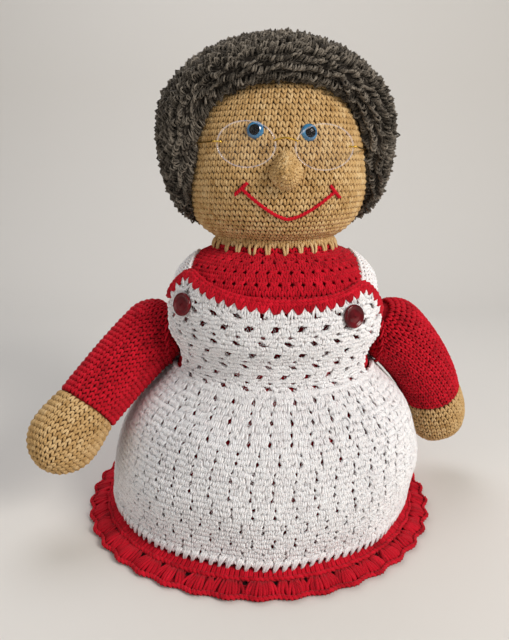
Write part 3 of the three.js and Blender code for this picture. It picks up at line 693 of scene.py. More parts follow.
def fibres(surface, across, along, millimetre, random, length, lift, rise):
    """Fine hairs that stand off the yarn. A millimetre across is so much of the surface's own measure."""
    steps = np.array([0.0, 0.55, 1.0])
    count = len(across)
    reach = length * random.uniform(0.4, 1, count)[:, None] * steps
    turn = random.uniform(0, 2 * np.pi, count)[:, None] + random.normal(0, 0.6, count)[:, None] * steps
    up = lift + random.uniform(0.2, 1, count)[:, None] * rise * np.sin(steps * 1.9)
    points, normals = surface(
        across[:, None] + reach * np.cos(turn) * millimetre, along[:, None] + reach * np.sin(turn), up,
    )
    radii = np.broadcast_to(fine_hair_radius * (1 - 0.5 * steps), (count, 3))
    return [(points, normals, radii, random.uniform(0.5, 1, count))]


def kept(strands, keep):
    """Only the strands whose middle is where keep says."""
    found = []
    for paths, normals, radii, shade in strands:
        chosen = keep(paths[:, paths.shape[1] // 2])
        found.append((paths[chosen], normals[chosen], radii[chosen], shade[chosen]))
    return found


def rounds(form, start, end, height, width, drift=0.16):
    """Places of stitches in rounds up a form: angle, length along the outline and width as an angle."""
    count = max(1, round((end - start) / height))
    step = (end - start) / count
    angles, lengths, widths = [], [], []
    for row in range(count):
        length = start + row * step
        stitch_count = max(5, round(2 * np.pi * form.radius_at(length + step / 2) / width))
        angles.append(2 * np.pi * (np.arange(stitch_count) + drift * row) / stitch_count)
        lengths.append(np.full(stitch_count, length))
        widths.append(np.full(stitch_count, 2 * np.pi / stitch_count))
    return np.concatenate(angles), np.concatenate(lengths), np.concatenate(widths), step


def single_rounds(form, start, end, random, lift=0.0):
    angles, lengths, widths, step = rounds(form, start, end, stitch_height, stitch_width)
    return stitches(SINGLE_LEGS, form.place, random, angles, lengths, widths, step, leg_radius, lift)


# Materials

def linear(hex_colour):
    value = np.array([int(hex_colour[k:k + 2], 16) / 255 for k in (1, 3, 5)])
    return (*np.where(value <= 0.04045, value / 12.92, ((value + 0.055) / 1.055) ** 2.4), 1.0)


class Finish:
    """A node material, built one node at a time."""

    def __init__(self, name, **sockets):
        self.material = bpy.data.materials.new(name)
        self.material.use_nodes = True
        self.nodes = self.material.node_tree.nodes
        self.links = self.material.node_tree.links
        self.shader = self.nodes["Principled BSDF"]
        for socket, value in sockets.items():
            self.shader.inputs[socket.replace("_", " ")].default_value = value

    def node(self, kind, settings=None, **inputs):
        made = self.nodes.new("ShaderNode" + kind)
        for key, value in (settings or {}).items():
            setattr(made, key, value)
        for key, value in inputs.items():
            self.set(made, key.replace("_", " "), value)
        return made

    def set(self, node, socket, value):
        target = node.inputs[int(socket)] if socket.isdigit() else node.inputs[socket]
        if hasattr(value, "is_output"):
            self.links.new(value, target)
        else:
            target.default_value = value

    def maths(self, operation, first, second=0.0):
        node = self.node("Math", {"operation": operation})
        self.set(node, "0", first)
        self.set(node, "1", second)
        return node.outputs[0]

    def noise(self, scale, detail=3.0, vector=None):
        node = self.node("TexNoise", Scale=scale, Detail=detail)
        self.set(node, "Vector", vector or self.node("TexCoord").outputs["Object"])
        return node.outputs["Fac"]

    def ramp(self, value, stops):
        node = self.node("ValToRGB", Fac=value)
        ramp = node.color_ramp
        while len(ramp.elements) < len(stops):
            ramp.elements.new(0.5)
        for element, (position, colour) in zip(ramp.elements, stops):
            element.position = position
            element.color = linear(colour)
        return node.outputs["Color"]

    def colour(self, value):
        self.set(self.shader, "Base Color", value)

    def bump(self, height, strength, distance):
        node = self.node("Bump", Strength=strength, Distance=distance * METRE, Height=height)
        self.set(self.shader, "Normal", node.outputs["Normal"])


def yarn_finish(name, stops, plies=3, twist=3.4, fleck=0.25, glow=0.0):
    """Plied yarn: a twist from the yarn's own map, painted darker in its grooves as painted shade, fibres,
    and a shade of its own for each strand.
    """
    made = Finish(
        name, Roughness=0.85, Sheen_Weight=0.05, Sheen_Roughness=0.5, Specular_IOR_Level=0.12,
        Subsurface_Weight=glow, Subsurface_Radius=(1.0, 0.9, 0.85), Subsurface_Scale=2.0 * METRE,
    )
    place = made.node("SeparateXYZ", Vector=made.node("UVMap", {"uv_map": "Yarn"}).outputs["UV"])
    turns = made.maths("ADD", made.maths("DIVIDE", place.outputs["X"], twist), place.outputs["Y"])
    wave = made.maths("SINE", made.maths("MULTIPLY", turns, 2 * math.pi * plies))
    ply_relief_and_painted_shade = made.maths("MULTIPLY", made.maths("ADD", wave, 1.0), 0.5)
    fluff = made.noise(2600.0, 4.0)
    patches = made.noise(55.0, 2.0)
    shade = made.node("Attribute", {"attribute_name": "shade"}).outputs["Fac"]
    tone = made.maths("ADD", made.maths("MULTIPLY", shade, 0.34), made.maths("MULTIPLY", patches, 0.3))
    tone = made.maths("ADD", tone, made.maths("MULTIPLY", fluff, fleck))
    # The twist's grooves are painted darker than its crests: painted shade.
    tone = made.maths("ADD", tone, made.maths("MULTIPLY", ply_relief_and_painted_shade, 0.16))
    made.colour(made.ramp(tone, stops))
    made.bump(made.maths("ADD", ply_relief_and_painted_shade, made.maths("MULTIPLY", fluff, 0.7)), 0.55, 0.35)
    return made.material


def painted_shade_cloth_finish(name, stops):
    """The cloth between the stitches, darker than its yarn as painted shade, with small knots of yarn that
    are darker where they dip, also painted shade.
    """
    made = Finish(name, Roughness=0.9, Specular_IOR_Level=0.2)
    knots = made.node("TexVoronoi", {"feature": "F1"}, Scale=260.0)
    made.set(knots, "Vector", made.node("TexCoord").outputs["Object"])
    tone = made.maths("ADD", made.maths("MULTIPLY", knots.outputs["Distance"], 0.5), made.noise(90.0))
    made.colour(made.ramp(tone, stops))
    made.bump(knots.outputs["Distance"], 0.6, 0.6)
    return made.material


def fibre_finish(name, stops):
    made = Finish(name, Roughness=0.95, Sheen_Weight=0.3, Specular_IOR_Level=0.1)
    tufts = made.noise(120.0, 8.0)
    made.colour(made.ramp(tufts, stops))
    made.bump(tufts, 0.9, 2.0)
    return made.material


def plastic_finish(name, stops, roughness, coat=0.6, scale=240.0, shine=0.5):
    made = Finish(name, Roughness=roughness, Coat_Weight=coat, Coat_Roughness=0.03, Specular_IOR_Level=shine)
    grain = made.noise(scale, 3.0)
    made.colour(made.ramp(grain, stops))
    made.bump(made.noise(1500.0, 2.0), 0.08, 0.1)
    return made.material


def metal_finish(name, stops, roughness=0.24):
    made = Finish(name, Roughness=roughness, Metallic=1.0)
    drawn = made.noise(700.0, 3.0)
    made.colour(made.ramp(drawn, stops))
    made.bump(drawn, 0.1, 0.05)
    return made.material


def clear_finish(name, alpha, colour):
    made = Finish(name, Roughness=0.04, Alpha=alpha, IOR=1.5, Coat_Weight=0.5, Coat_Roughness=0.03)
    made.colour(made.ramp(made.noise(30.0), [(0.3, colour), (0.7, "#eceef4")]))
    return made.material


red_yarn = yarn_finish("red_yarn", [(0.22, "#790412"), (0.5, "#b90d21"), (0.8, "#d6182f")])
white_yarn = yarn_finish("white_yarn", [(0.2, "#e3dcde"), (0.5, "#f4f1f2"), (0.8, "#fbf9fa")], glow=0.5)
skin_yarn = yarn_finish("skin_yarn", [(0.2, "#96703d"), (0.5, "#c39f6a"), (0.8, "#dcc091")])
grey_yarn = yarn_finish(
    "grey_yarn", [(0.3, "#0a0907"), (0.5, "#24201b"), (0.72, "#443e36"), (0.95, "#8a8175")], fleck=0.75
)
button_yarn = yarn_finish("button_yarn", [(0.2, "#2a0308"), (0.5, "#4c0710"), (0.8, "#6f101b")])
# The cloths under the stitches are darker copies of their yarns' colours: painted shade between the stitches.
red_cloth_painted_shade = painted_shade_cloth_finish("red_cloth_painted_shade", [(0.3, "#5c0610"), (0.8, "#a00d1e")])
white_cloth_painted_shade = painted_shade_cloth_finish("white_cloth_painted_shade", [(0.3, "#d2ccc9"), (0.8, "#e9e6e4")])
skin_cloth_painted_shade = painted_shade_cloth_finish("skin_cloth_painted_shade", [(0.3, "#5b3c1c"), (0.8, "#876133")])
grey_cloth_painted_shade = painted_shade_cloth_finish("grey_cloth_painted_shade", [(0.3, "#0e0c0a"), (0.8, "#26211c")])
stuffing_fibre = fibre_finish("stuffing_fibre", [(0.3, "#b9b4ac"), (0.7, "#ece8e0")])
card_finish = fibre_finish("card", [(0.3, "#a08a62"), (0.7, "#bfa97f")])
burgundy_plastic = plastic_finish(
    "burgundy_plastic", [(0.35, "#3c0409"), (0.7, "#6c0d17")], roughness=0.14, coat=0.15, scale=90.0,
    shine=0.25,
)
iris_plastic = plastic_finish(
    "iris_plastic", [(0.3, "#0f4d78"), (0.75, "#2f86b6")], roughness=0.12, coat=1.0
)
pupil_plastic = plastic_finish(
    "pupil_plastic", [(0.3, "#020202"), (0.7, "#070708")], roughness=0.08, coat=0.0, shine=0.12
)
washer_plastic = plastic_finish(
    "washer_plastic", [(0.3, "#e4e3dc"), (0.7, "#f2f1ec")], roughness=0.4, coat=0.1
)
gold_wire = metal_finish("gold_wire", [(0.3, "#c9962c"), (0.7, "#f0cf6e")])
lens_clear = clear_finish("lens_clear", alpha=0.012, colour="#8b949c")
# The lens's rim is paler and less clear than the lens: a painted highlight along its edge.
lens_edge_painted_highlight = clear_finish("lens_edge_painted_highlight", alpha=0.16, colour="#e4e0f4")

# The slot that each material belongs to
slots = {
    "red_yarn": [red_yarn, red_cloth_painted_shade, button_yarn],
    "white_yarn": [white_yarn, white_cloth_painted_shade],
    "skin_yarn": [skin_yarn, skin_cloth_painted_shade],
    "grey_yarn": [grey_yarn, grey_cloth_painted_shade],
    "stuffing": [stuffing_fibre],
    "button_plastic": [burgundy_plastic],
    "eye_plastic": [iris_plastic],
    "gold_wire": [gold_wire],
    "clear_plastic": [lens_clear],
}
slot_of = {material.name: slot for slot, group in slots.items() for material in group}


def refinish(node, material):
    """Gives a solid that shows as it was packed a material of its own."""
    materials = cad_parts[node].data.materials
    materials.clear()
    materials.append(material)


# Dress

def outside_shoulders(points, margin=0.0):
    """Whether points are clear of the balls in which the arms turn."""
    clear = np.ones(len(points), bool)
    for pose in arm_poses.values():
        clear &= np.linalg.norm(points - shoulder_centre(pose), axis=1) > arm_radius + margin
    return clear


def dent_shoulders(points, hollow=arm_radius + hollow_ease):
    """Moves what is inside a shoulder's hollow straight in, until it lies on the hollow's ball."""
    points = points.copy()
    for pose in arm_poses.values():
        away = points - shoulder_centre(pose)
        inside = np.linalg.norm(away, axis=1) < hollow
        reach = np.sqrt(np.maximum(hollow ** 2 - away[inside, 1] ** 2 - away[inside, 2] ** 2, 0))
        points[inside, 0] = shoulder_centre(pose)[0] - pose["side"] * reach
    return points


def bib_edge(degrees):
    """Height of the bib's upper edge, which rises to the buttons and falls steeply beside them."""
    turn = np.abs(degrees - bib_turn)
    level = bib_top - bib_tilt * (degrees - bib_turn) / bib_half_angle
    past = np.maximum(turn - bib_corner_angle, 0) / (bib_half_angle - bib_corner_angle)
    rise = (np.minimum(turn, bib_corner_angle) / bib_corner_angle) ** 2
    return level + bib_corner_rise * rise - 1.7 * bib_corner_rise * past ** 2


def degrees_about_body(points):
    return np.degrees(np.arctan2(points[:, 0] - lean_at(points[:, 2]), -points[:, 1]))


def in_the_open(points):
    """Whether a place on the dress shows beside the apron and the arms."""
    degrees = degrees_about_body(points)
    height = points[:, 2]
    in_front = np.abs(degrees) < apron_panel_angle + corner_softness + 2
    under_skirt = (height < apron_top + 1) & (height > apron_hem(degrees) - 3) & in_front
    under_band = (height < apron_top - 2) & (height > apron_top - apron_band + 1) & ~in_front
    under_bib = (np.abs(degrees - bib_turn) < bib_half_angle - 4) & (height < bib_edge(degrees) - 5)
    covered = under_skirt | under_band | (under_bib & (height > apron_top - 2))
    return ~covered & outside_shoulders(points, 3.2)


def dress_cloth_lift(angle, length):
    """The dress's cloth lies under its stitches, and nearer to the surface where only the lace covers it."""
    degrees = np.abs(np.degrees((angle + np.pi) % (2 * np.pi) - np.pi) - bib_turn)
    height = np.interp(length, dress_form.lengths, dress_form.stations)
    skirt = smoothstep(degrees, 104, 98) * smoothstep(height, 18, 24) * smoothstep(height, 124, 118)
    bib = smoothstep(degrees, 57, 50) * smoothstep(height, 182, 176) * smoothstep(height, 116, 122)
    return 1.5 * np.maximum(skirt, bib) - cloth_depth


def make_dress():
    random = np.random.default_rng(11)
    cloth = skin_of(
        "dress_cloth", dress_form, 0, dress_form.length_at(dress_cloth_top), dress_cloth_lift,
        columns=144, rows=90, dent=dent_shoulders,
    )
    finish_piece(cloth, red_cloth_painted_shade, "body", ["body_cover"])
    rows = kept(single_rounds(dress_form, 2.0, yoke_start, random), in_the_open)
    low = kept(rows, lambda p: p[:, 2] < apron_top)
    high = kept(rows, lambda p: p[:, 2] >= apron_top)
    add_yarn("dress_rounds_low", low, red_yarn, "body")
    add_yarn("dress_rounds_high", high, red_yarn, "body")


def make_stuffing():
    bottom = dress_form.length_at(body_filling_bottom)
    body = skin_of(
        "body_filling", dress_form, bottom, dress_neck, -body_filling_depth,
        dent=lambda points: dent_shoulders(points, arm_radius + filling_hollow_ease),
    )
    head = skin_of("head_filling", head_form, 0, head_form.length, -head_filling_depth, columns=72, rows=40)
    for name, filling in (("body", body), ("head", head)):
        finish_piece(filling, stuffing_fibre, name, [f"{name}_stuffing"])


# Apron

def apron_hem(degrees):
    """Height of the apron's hem, which rises to the waistband behind."""
    soft = corner_softness
    corner = smoothstep(np.abs(degrees), apron_panel_angle - soft, apron_panel_angle + soft)
    front = flounce_drop + flounce_thickness + cloth_ease
    return front + (apron_top - apron_band - front) * corner


def pressed_by_arms(angle, drop):
    """From 0 to 1, how much the apron is pressed in where a sleeve reaches it at the end of its swing."""
    degrees = np.degrees(angle)
    return sum(
        np.exp(-((degrees - middle) / apron_press_width) ** 2 - ((drop - height) / apron_press_height) ** 2)
        for middle, height in apron_press_places
    )


def apron_surface(angle, drop, lift):
    """The apron's skirt: an angle, a height above the table, and a lift from the middle of the cloth."""
    share = np.clip((apron_top - drop) / apron_top, 0, 1)
    pressed = pressed_by_arms(angle, drop)
    fold = apron_fold_depth * share * (1 + np.cos(apron_fold_count * angle))
    swing = 4 * angle + 1.5 * np.sin(2.3 * angle)
    ripple = np.sin(drop / 8.5 + swing) * np.sin(5 * angle - drop / 27 + 0.6)
    waves = (fold + apron_ripple_depth * smoothstep(share, 0.08, 0.3) * ripple) * (1 - pressed)
    raised = apron_lift + waves - apron_press_depth * pressed
    return dress_form.place(angle, dress_form.length_at(drop), raised + lift)


def bib_lift(height):
    share = smoothstep(height, bib_top - bib_rise_start, bib_top - bib_rise_end)
    return cloth_ease + share * (fabric + 3 * cloth_ease)


def bib_surface(angle, height, lift):
    return dress_form.place(angle, dress_form.length_at(height), bib_lift(height) + bib_cloth_lift + lift)


def beside_arms(points):
    """Whether points are clear of the bars in which the shoulders' seams turn."""
    clear = np.ones(len(points), bool)
    for pose in arm_poses.values():
        away = points - shoulder_centre(pose)
        beside = np.hypot(away[:, 1], away[:, 2]) > bar_radius
        clear &= beside | (away[:, 0] * pose["side"] < -arm_radius * 1.6)
    return clear


class Lace:
    """Rows of stitches with holes between them. A hole is: how far it lies across in repeats and up in rows,
    half its width, half its height and its tilt. Every other row has its holes half a repeat further on."""

    def __init__(self, row_height, repeat, even_holes, odd_holes, low, high, bottom, top, radius_of):
        self.count = round((top - bottom) / row_height)
        self.step = (top - bottom) / self.count
        self.bottom, self.low, self.high = bottom, low, high
        self.repeat = repeat
        self.holes = (even_holes, odd_holes)
        self.radius_of = radius_of

    def radius(self, row):
        return self.radius_of(self.bottom + (row + 0.5) * self.step)

    def holes_beside(self, angle, height):
        """For strands of points, one hole after another that may be near: each point's distances along and
        over it, its half sizes, the cosine and sine of its tilt, its row's radius and whether it is there."""
        row_here = np.round((height.mean(axis=-1, keepdims=True) - self.bottom) / self.step - 0.5)
        for offset in (-1, 0, 1):
            row = row_here + offset
            radius = self.radius(row)
            for parity in (0, 1):
                for over, up, half_width, half_height, tilt in self.holes[parity]:
                    repeats = (angle - self.low) * radius / self.repeat - over - 0.5 * parity
                    across = (repeats - np.round(repeats.mean(axis=-1, keepdims=True))) * self.repeat
                    rise = height - self.bottom - (row + up) * self.step
                    cos, sin = math.cos(tilt), math.sin(tilt)
                    there = (row % 2 == parity) & (row >= 0) & (row < self.count)
                    along, above = across * cos + rise * sin, rise * cos - across * sin
                    yield along, above, half_width, half_height, cos, sin, radius, there

    def opened(self, angle, height, yarn_radius):
        """The strands moved to their own sides of each hole: up or down at a slit, sideways at a dot."""
        angle_now, height_now = np.array(angle, float), np.array(height, float)
        for hole in self.holes_beside(angle, height):
            along, above, half_width, half_height, cos, sin, radius, there = hole
            slit = half_width > half_height
            if slit:
                ahead, beside, half_ahead, half_beside = above, along, half_height, half_width
            else:
                ahead, beside, half_ahead, half_beside = along, above, half_width, half_height
            side = np.where(ahead.mean(axis=-1, keepdims=True) < 0, -1.0, 1.0)
            near = np.maximum(ahead * side, 0)
            width = half_ahead + yarn_radius
            clear = width * np.exp(-np.log(width / yarn_radius) * (beside / half_beside) ** 2)
            push = side * np.sqrt(near ** 2 + clear ** 2) - ahead
            push = np.where(there, push * np.exp(-(near / 5) ** 2), 0)
            push_along, push_above = (0, push) if slit else (push, 0)
            angle_now += (push_along * cos - push_above * sin) / radius
            height_now += push_along * sin + push_above * cos
        return angle_now, height_now

    def strands(self, surface, random, courses=3, yarn_radius=0.95, width=3.0, untidy=1.0):
        """The stitches: so many courses of them in each row."""
        def opened_surface(angle, height, lift):
            return surface(*self.opened(angle, height, yarn_radius), lift)

        strands = []
        tall = self.step / courses
        for course in range(courses * self.count):
            radius = self.radius(course // courses)
            angle = np.arange(self.low, self.high, width / radius) + random.uniform(0, width / radius)
            angle = angle + random.normal(0, 0.07 * width * untidy, len(angle)) / radius
            height = self.bottom + course * tall + random.normal(0, 0.1 * tall * untidy, len(angle))
            lean = untidy * random.normal(0.22 if course % 2 else -0.22, 0.17, len(angle))
            strands += stitches(
                LACE_LEGS, opened_surface, random, angle, height, width / radius, 1.05 * tall, yarn_radius,
                lift=0.5, slant=lean, stray=0.07 * untidy,
            )
        return strands

    def cloth(self, name, surface, edge):
        """The cloth behind the stitches, with the same holes."""
        columns = round((self.high - self.low) * self.radius(self.count / 2) / 1.05)
        lines = round(self.count * self.step)
        angle, share = np.meshgrid(np.linspace(self.low, self.high, columns), np.linspace(0, 1, lines))
        floor, ceiling = edge(angle)
        height = floor + (ceiling - floor) * share
        points, _ = surface(angle, height, 0)

        def stays(faces):
            chosen = beside_arms(points.reshape(-1, 3)[faces].mean(axis=1))
            middle = (values.ravel()[faces].mean(axis=1)[:, None] for values in (angle, height))
            for along, above, half_width, half_height, *_, there in self.holes_beside(*middle):
                inside = np.hypot(along / (half_width + 0.6), above / (half_height + 0.6)) < 1
                chosen &= ~(inside & there)[:, 0]
            return chosen

        return grid_object(name, points, stays=stays)


def radius_over_dress(lift):
    """The radius at a height of what lies so far over the dress."""
    return lambda height: dress_form.radius_at_height(height) + lift


def beside_line(line, normals):
    """The cloth beside a line on it, by a distance along it, one to its left and a lift, and its length."""
    reached = reached_along(line)
    left = unit(np.cross(normals, unit(np.gradient(line, axis=0))))

    def surface(along, sideways, lift):
        normal = interpolate(along, reached, normals)
        point = interpolate(along, reached, line) + interpolate(along, reached, left) * sideways[..., None]
        return point + normal * np.asarray(lift)[..., None], normal

    return surface, reached[-1]


def make_apron():
    random = np.random.default_rng(21)
    low, high = (math.radians(way * (apron_panel_angle + corner_softness)) for way in (-1, 1))
    bottom = float(apron_hem(0)) + 2
    dots = [(0.0, 0.87, 0.85, 0.95, 0.1), (0.0, 0.42, 1.2, 1.45, -0.2)]
    turned_dots = [(0.0, 0.87, 0.85, 0.95, -0.1), (0.0, 0.42, 1.2, 1.45, 0.25)]
    lace = Lace(
        row_height=11.0, repeat=14.6, even_holes=dots, odd_holes=turned_dots, low=low, high=high,
        bottom=bottom, top=apron_top, radius_of=radius_over_dress(0),
    )

    def edge(angle):
        return apron_hem(np.degrees(angle)) + 1.5, np.full_like(angle, apron_top)

    def over_hem(points):
        return points[:, 2] - apron_hem(degrees_about_body(points))

    cloth = lace.cloth("apron_cloth", apron_surface, edge)
    finish_piece(cloth, white_cloth_painted_shade, "body", ["apron_skirt"])
    strands = kept(lace.strands(apron_surface, random), lambda p: (over_hem(p) > 0) & beside_arms(p))
    hairs = fibres(
        apron_surface, random.uniform(low, high, apron_hairs), random.uniform(bottom, apron_top, apron_hairs),
        1 / 122, random, **white_hair,
    )
    parts = {
        "apron_lace_low": (kept(strands, lambda p: p[:, 2] < lace_cut_height), 4),
        "apron_lace_high": (kept(strands, lambda p: p[:, 2] >= lace_cut_height), 4),
        "apron_fuzz": (kept(hairs, lambda p: (over_hem(p) > 2) & beside_arms(p)), 3),
    }
    yarns = [
        add_yarn(name, part, white_yarn, "body", sides=sides)
        for name, (part, sides) in parts.items()
    ]
    hem = make_hem(random)
    band = make_waistband(random)


def make_hem(random):
    """Slanting points of yarn along the hem, over the flounce, and up the apron's side edges."""
    side = apron_panel_angle + 12
    angle = np.radians(np.linspace(-side, side, 700))
    line, normals = apron_surface(angle, apron_hem(np.degrees(angle)) + 1.5, 0)
    surface, length = beside_line(line, normals)
    legs = [
        [(0.45 + x, 0.5, 0.0, 0.9), (0.25 + x * 0.7, 0.22, 0.6, 1.0), (0.05 + x * 0.35, -0.12, 0.6, 1.0),
         (-0.14, -0.5, 0.1, 0.6)]
        for x in (-0.26, 0.0, 0.26)
    ]
    places = np.arange(hem_pitch, length - hem_pitch, hem_pitch)
    strands = stitches(legs, surface, random, places, 0, hem_pitch, height=11, radius=1.05, lift=0.8)
    links = np.arange(0, length, chain_pitch)
    chain = stitches(
        ROPE_LEGS, surface, random, links, along=1.2, width=chain_pitch, height=6, radius=1.35, lift=0.9,
    )
    strands += kept(chain, lambda p: np.abs(degrees_about_body(p)) > apron_panel_angle - corner_softness)
    return add_yarn("apron_hem", kept(strands, beside_arms), white_yarn, "body")


def make_waistband(random):
    """The band that runs on round the back from the sides of the bib: its cloth and its rows of stitches."""
    side = math.radians(apron_panel_angle + 11)
    end = 2 * np.pi - side
    low = apron_top - apron_band
    angle, height = np.meshgrid(np.linspace(side, end, 90), np.linspace(low + 0.3, apron_top - 0.3, 8))
    cloth = grid_object("waistband_cloth", apron_surface(angle, height, 0)[0])
    finish_piece(cloth, white_cloth_painted_shade, "body")
    pitch = band_pitch / band_radius
    row_height = apron_band / band_rows
    strands = []
    for row in range(band_rows):
        angle = np.arange(side, end, pitch)
        height = low + row * row_height
        strands += stitches(
            SINGLE_LEGS, apron_surface, random, angle, height, pitch, row_height, radius=1.05, lift=0.3,
        )
    angle = np.arange(-math.pi, math.pi, pitch)
    top = stitches(
        ROPE_LEGS, apron_surface, random, angle, apron_top - 0.8, pitch, height=5, radius=1.25, lift=0.7,
    )
    strands += kept(top, lambda p: np.abs(degrees_about_body(p)) > bib_half_angle + 6)
    return cloth, add_yarn("waistband", kept(strands, beside_arms), white_yarn, "body")


def make_bib():
    random = np.random.default_rng(22)
    low, high = (math.radians(bib_turn + way * bib_half_angle) for way in (-1, 1))
    bottom, top = apron_top - 3, bib_top + 10
    slit_and_dot = [(0.0, 0.46, 3.1, 1.25, -0.35), (0.03, 0.92, 1.4, 0.9, -0.3)]
    slit = [(0.0, 0.56, 3.0, 1.75, 0.4)]
    lace = Lace(
        row_height=9.6, repeat=17.7, even_holes=slit_and_dot, odd_holes=slit, low=low, high=high,
        bottom=bottom, top=top, radius_of=radius_over_dress(4),
    )

    def edge(angle):
        return np.full_like(angle, bottom), bib_edge(np.degrees(angle)) + 1

    def under_edge(points):
        return bib_edge(degrees_about_body(points)) - points[:, 2]

    cloth = lace.cloth("bib_cloth", bib_surface, edge)
    finish_piece(cloth, white_cloth_painted_shade, "body", ["apron_bib"])
    strands = lace.strands(bib_surface, random, width=2.8)
    strands = kept(strands, lambda p: (under_edge(p) > 1.5) & beside_arms(p))
    yarn = add_yarn("bib_lace", strands, white_yarn, "body")
    spikes = make_spikes(random)
    hairs = fibres(
        bib_surface, random.uniform(low, high, bib_hairs), random.uniform(apron_top, top, bib_hairs), 1 / 84,
        random, **white_hair,
    )
    hairs = kept(hairs, lambda p: (under_edge(p) > 4) & beside_arms(p))
    fuzz = add_yarn("bib_fuzz", hairs, white_yarn, "body", sides=3)


def make_yoke():
    """The dress above the bib, in rounds with small holes, and the cloth that shows through them."""
    random = np.random.default_rng(12)
    holes = [(0.0, 0.75, 1.4, 1.7, 0.15)]
    lace = Lace(
        row_height=10.6, repeat=8.4, even_holes=holes, odd_holes=holes, low=-math.pi, high=math.pi,
        bottom=yoke_start, top=dress_neck, radius_of=dress_form.radius_at,
    )
    strands = lace.strands(dress_form.place, random, yarn_radius=1.1, width=3.8, untidy=0.3)
    yoke = add_yarn("yoke_rounds", strands, red_yarn)
    bottom = dress_form.length_at(yoke_cloth_bottom)
    cloth = skin_of("yoke_cloth", dress_form, bottom, dress_neck, -cloth_depth, rows=14)
    finish_piece(cloth, red_cloth_painted_shade)
    for piece in (yoke, cloth):
        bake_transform(piece)


def edging_surface():
    """The cloth beside the bib's upper edge, with up as its left."""
    angle = np.radians(bib_turn + np.linspace(-bib_half_angle, bib_half_angle, 300))
    return beside_line(*bib_surface(angle, bib_edge(np.degrees(angle)), 0))


def make_spikes(random):
    """White points of yarn between the red stitches of the edging, and a chain down each side of the bib."""
    surface, length = edging_surface()
    places = np.arange(edging_pitch / 2, length - edging_pitch / 2, edging_pitch)
    legs = [
        [(0.5 + x, -0.9, 0.0, 0.8), (0.5 + x * 0.8, -0.4, 0.6, 1.0), (0.5 + x * 0.4, -0.02, 0.7, 0.95),
         (0.5 + x * 0.06, 0.44, 0.4, 0.6)]
        for x in (-0.28, 0.0, 0.28)
    ]
    strands = stitches(legs, surface, random, places, 0, edging_pitch, height=8, radius=1.0, lift=0.9)
    for way in (-1, 1):
        edge = math.radians(bib_turn + way * (bib_half_angle - 0.5))
        rise = np.linspace(apron_top, float(bib_edge(math.degrees(edge))) - 3, 120)
        surface, length = beside_line(*bib_surface(edge, rise, 0))
        places = np.arange(0, length, chain_pitch)
        sideways = 0.8 * np.sin(places)
        strands += stitches(
            ROPE_LEGS, surface, random, places, sideways, chain_pitch, height=6, radius=1.25, lift=0.6,
        )
    return add_yarn("bib_spikes", kept(strands, beside_arms), white_yarn, "body")


def make_edging():
    random = np.random.default_rng(23)
    surface, length = edging_surface()
    places = np.arange(edging_pitch / 2, length, edging_pitch)
    legs = [
        [(x * 0.05, -0.44, 0.2, 0.7), (x * 0.2, -0.2, 0.9, 1.0), (x * 0.36, 0.08, 1.0, 1.05),
         (x * 0.48, 0.42, 0.6, 1.0)]
        for x in (-1, -0.35, 0.35, 1)
    ]
    strands = stitches(legs, surface, random, places, 0, edging_pitch, height=8, radius=1.2, lift=1.2)
    pitch = edging_pitch / 2
    for row in range(2):
        strands += stitches(
            ROPE_LEGS, surface, random, np.arange(0, length, pitch), 2.8 + 2.2 * row, pitch, height=4,
            radius=1.5, lift=1.0 - row,
        )
    add_yarn("bib_edging_yarn", strands, red_yarn, "body", ["bib_edging"])


def strap_surface(side):
    """A strap's face: distances across it and along it from behind the bib."""
    shares = np.array([share for _, share in strap_way])
    bottom = apron_top + cloth_ease
    heights = bottom + (dress_places[-1][1] - apron_top - cloth_ease) * shares
    angles = side * np.radians([angle for angle, _ in strap_way])
    radii = dress_form.radius_at_height(heights)
    line = smooth_line(rows_of(radii * np.sin(angles), -radii * np.cos(angles), heights), 120)
    reached = reached_along(line)
    along = unit(np.gradient(line, axis=0))
    _, normal = dress_form.place(np.arctan2(line[:, 0], -line[:, 1]), dress_form.length_at(line[:, 2]))
    sideways = unit(np.cross(along, normal))

    def surface(across, distance, lift):
        middle, way = (interpolate(distance, reached, values) for values in (line, sideways))
        point = middle + way * across[..., None]
        angle = np.arctan2(point[..., 0], -point[..., 1])
        return dress_form.place(angle, dress_form.length_at(point[..., 2]), strap_lift + lift)

    return surface, reached[-1]


def make_straps():
    columns = 5
    width = strap_width / columns
    for name, pose in arm_poses.items():
        random = np.random.default_rng(24 + pose["side"])
        surface, length = strap_surface(pose["side"])
        half = strap_width / 2
        across, along = np.meshgrid(np.linspace(-half, half, 12), np.linspace(0, length, 90))
        cloth = grid_object(f"{name}_strap_cloth", surface(across, along, 0)[0])
        finish_piece(cloth, white_cloth_painted_shade, "body", [f"{name}_strap"])
        middles = (np.arange(columns) + 0.5) * width - half
        column, row = np.meshgrid(middles, np.arange(0, length, stitch_height))
        strands = stitches(
            SINGLE_LEGS, surface, random, column.ravel(), row.ravel(), width, stitch_height, leg_radius,
            lift=0.3,
        )
        yarn = add_yarn(f"{name}_strap_rows", strands, white_yarn, "body")


# Flounce

def flounce_surface(angle, share, lift):
    """The flounce: an angle, a share of the way out from the dress, and a lift from its upper face."""
    root = dress_form.radius_at_height(flounce_drop + flounce_thickness)
    wave = np.cos(scallop_count * angle)
    fall = flounce_drop * np.maximum(1 - share, 0) ** 1.4
    height = fall + flounce_thickness - 1.4 + lift + 0.5 * share * wave
    radius = root + 0.3 + flounce_reach * share + scallop_depth * share * wave
    slope = rows_of(0.35 * np.sin(angle), -0.35 * np.cos(angle), 1)
    point = rows_of(lean_at(height) + radius * np.sin(angle), -radius * np.cos(angle), height)
    return point, unit(slope)


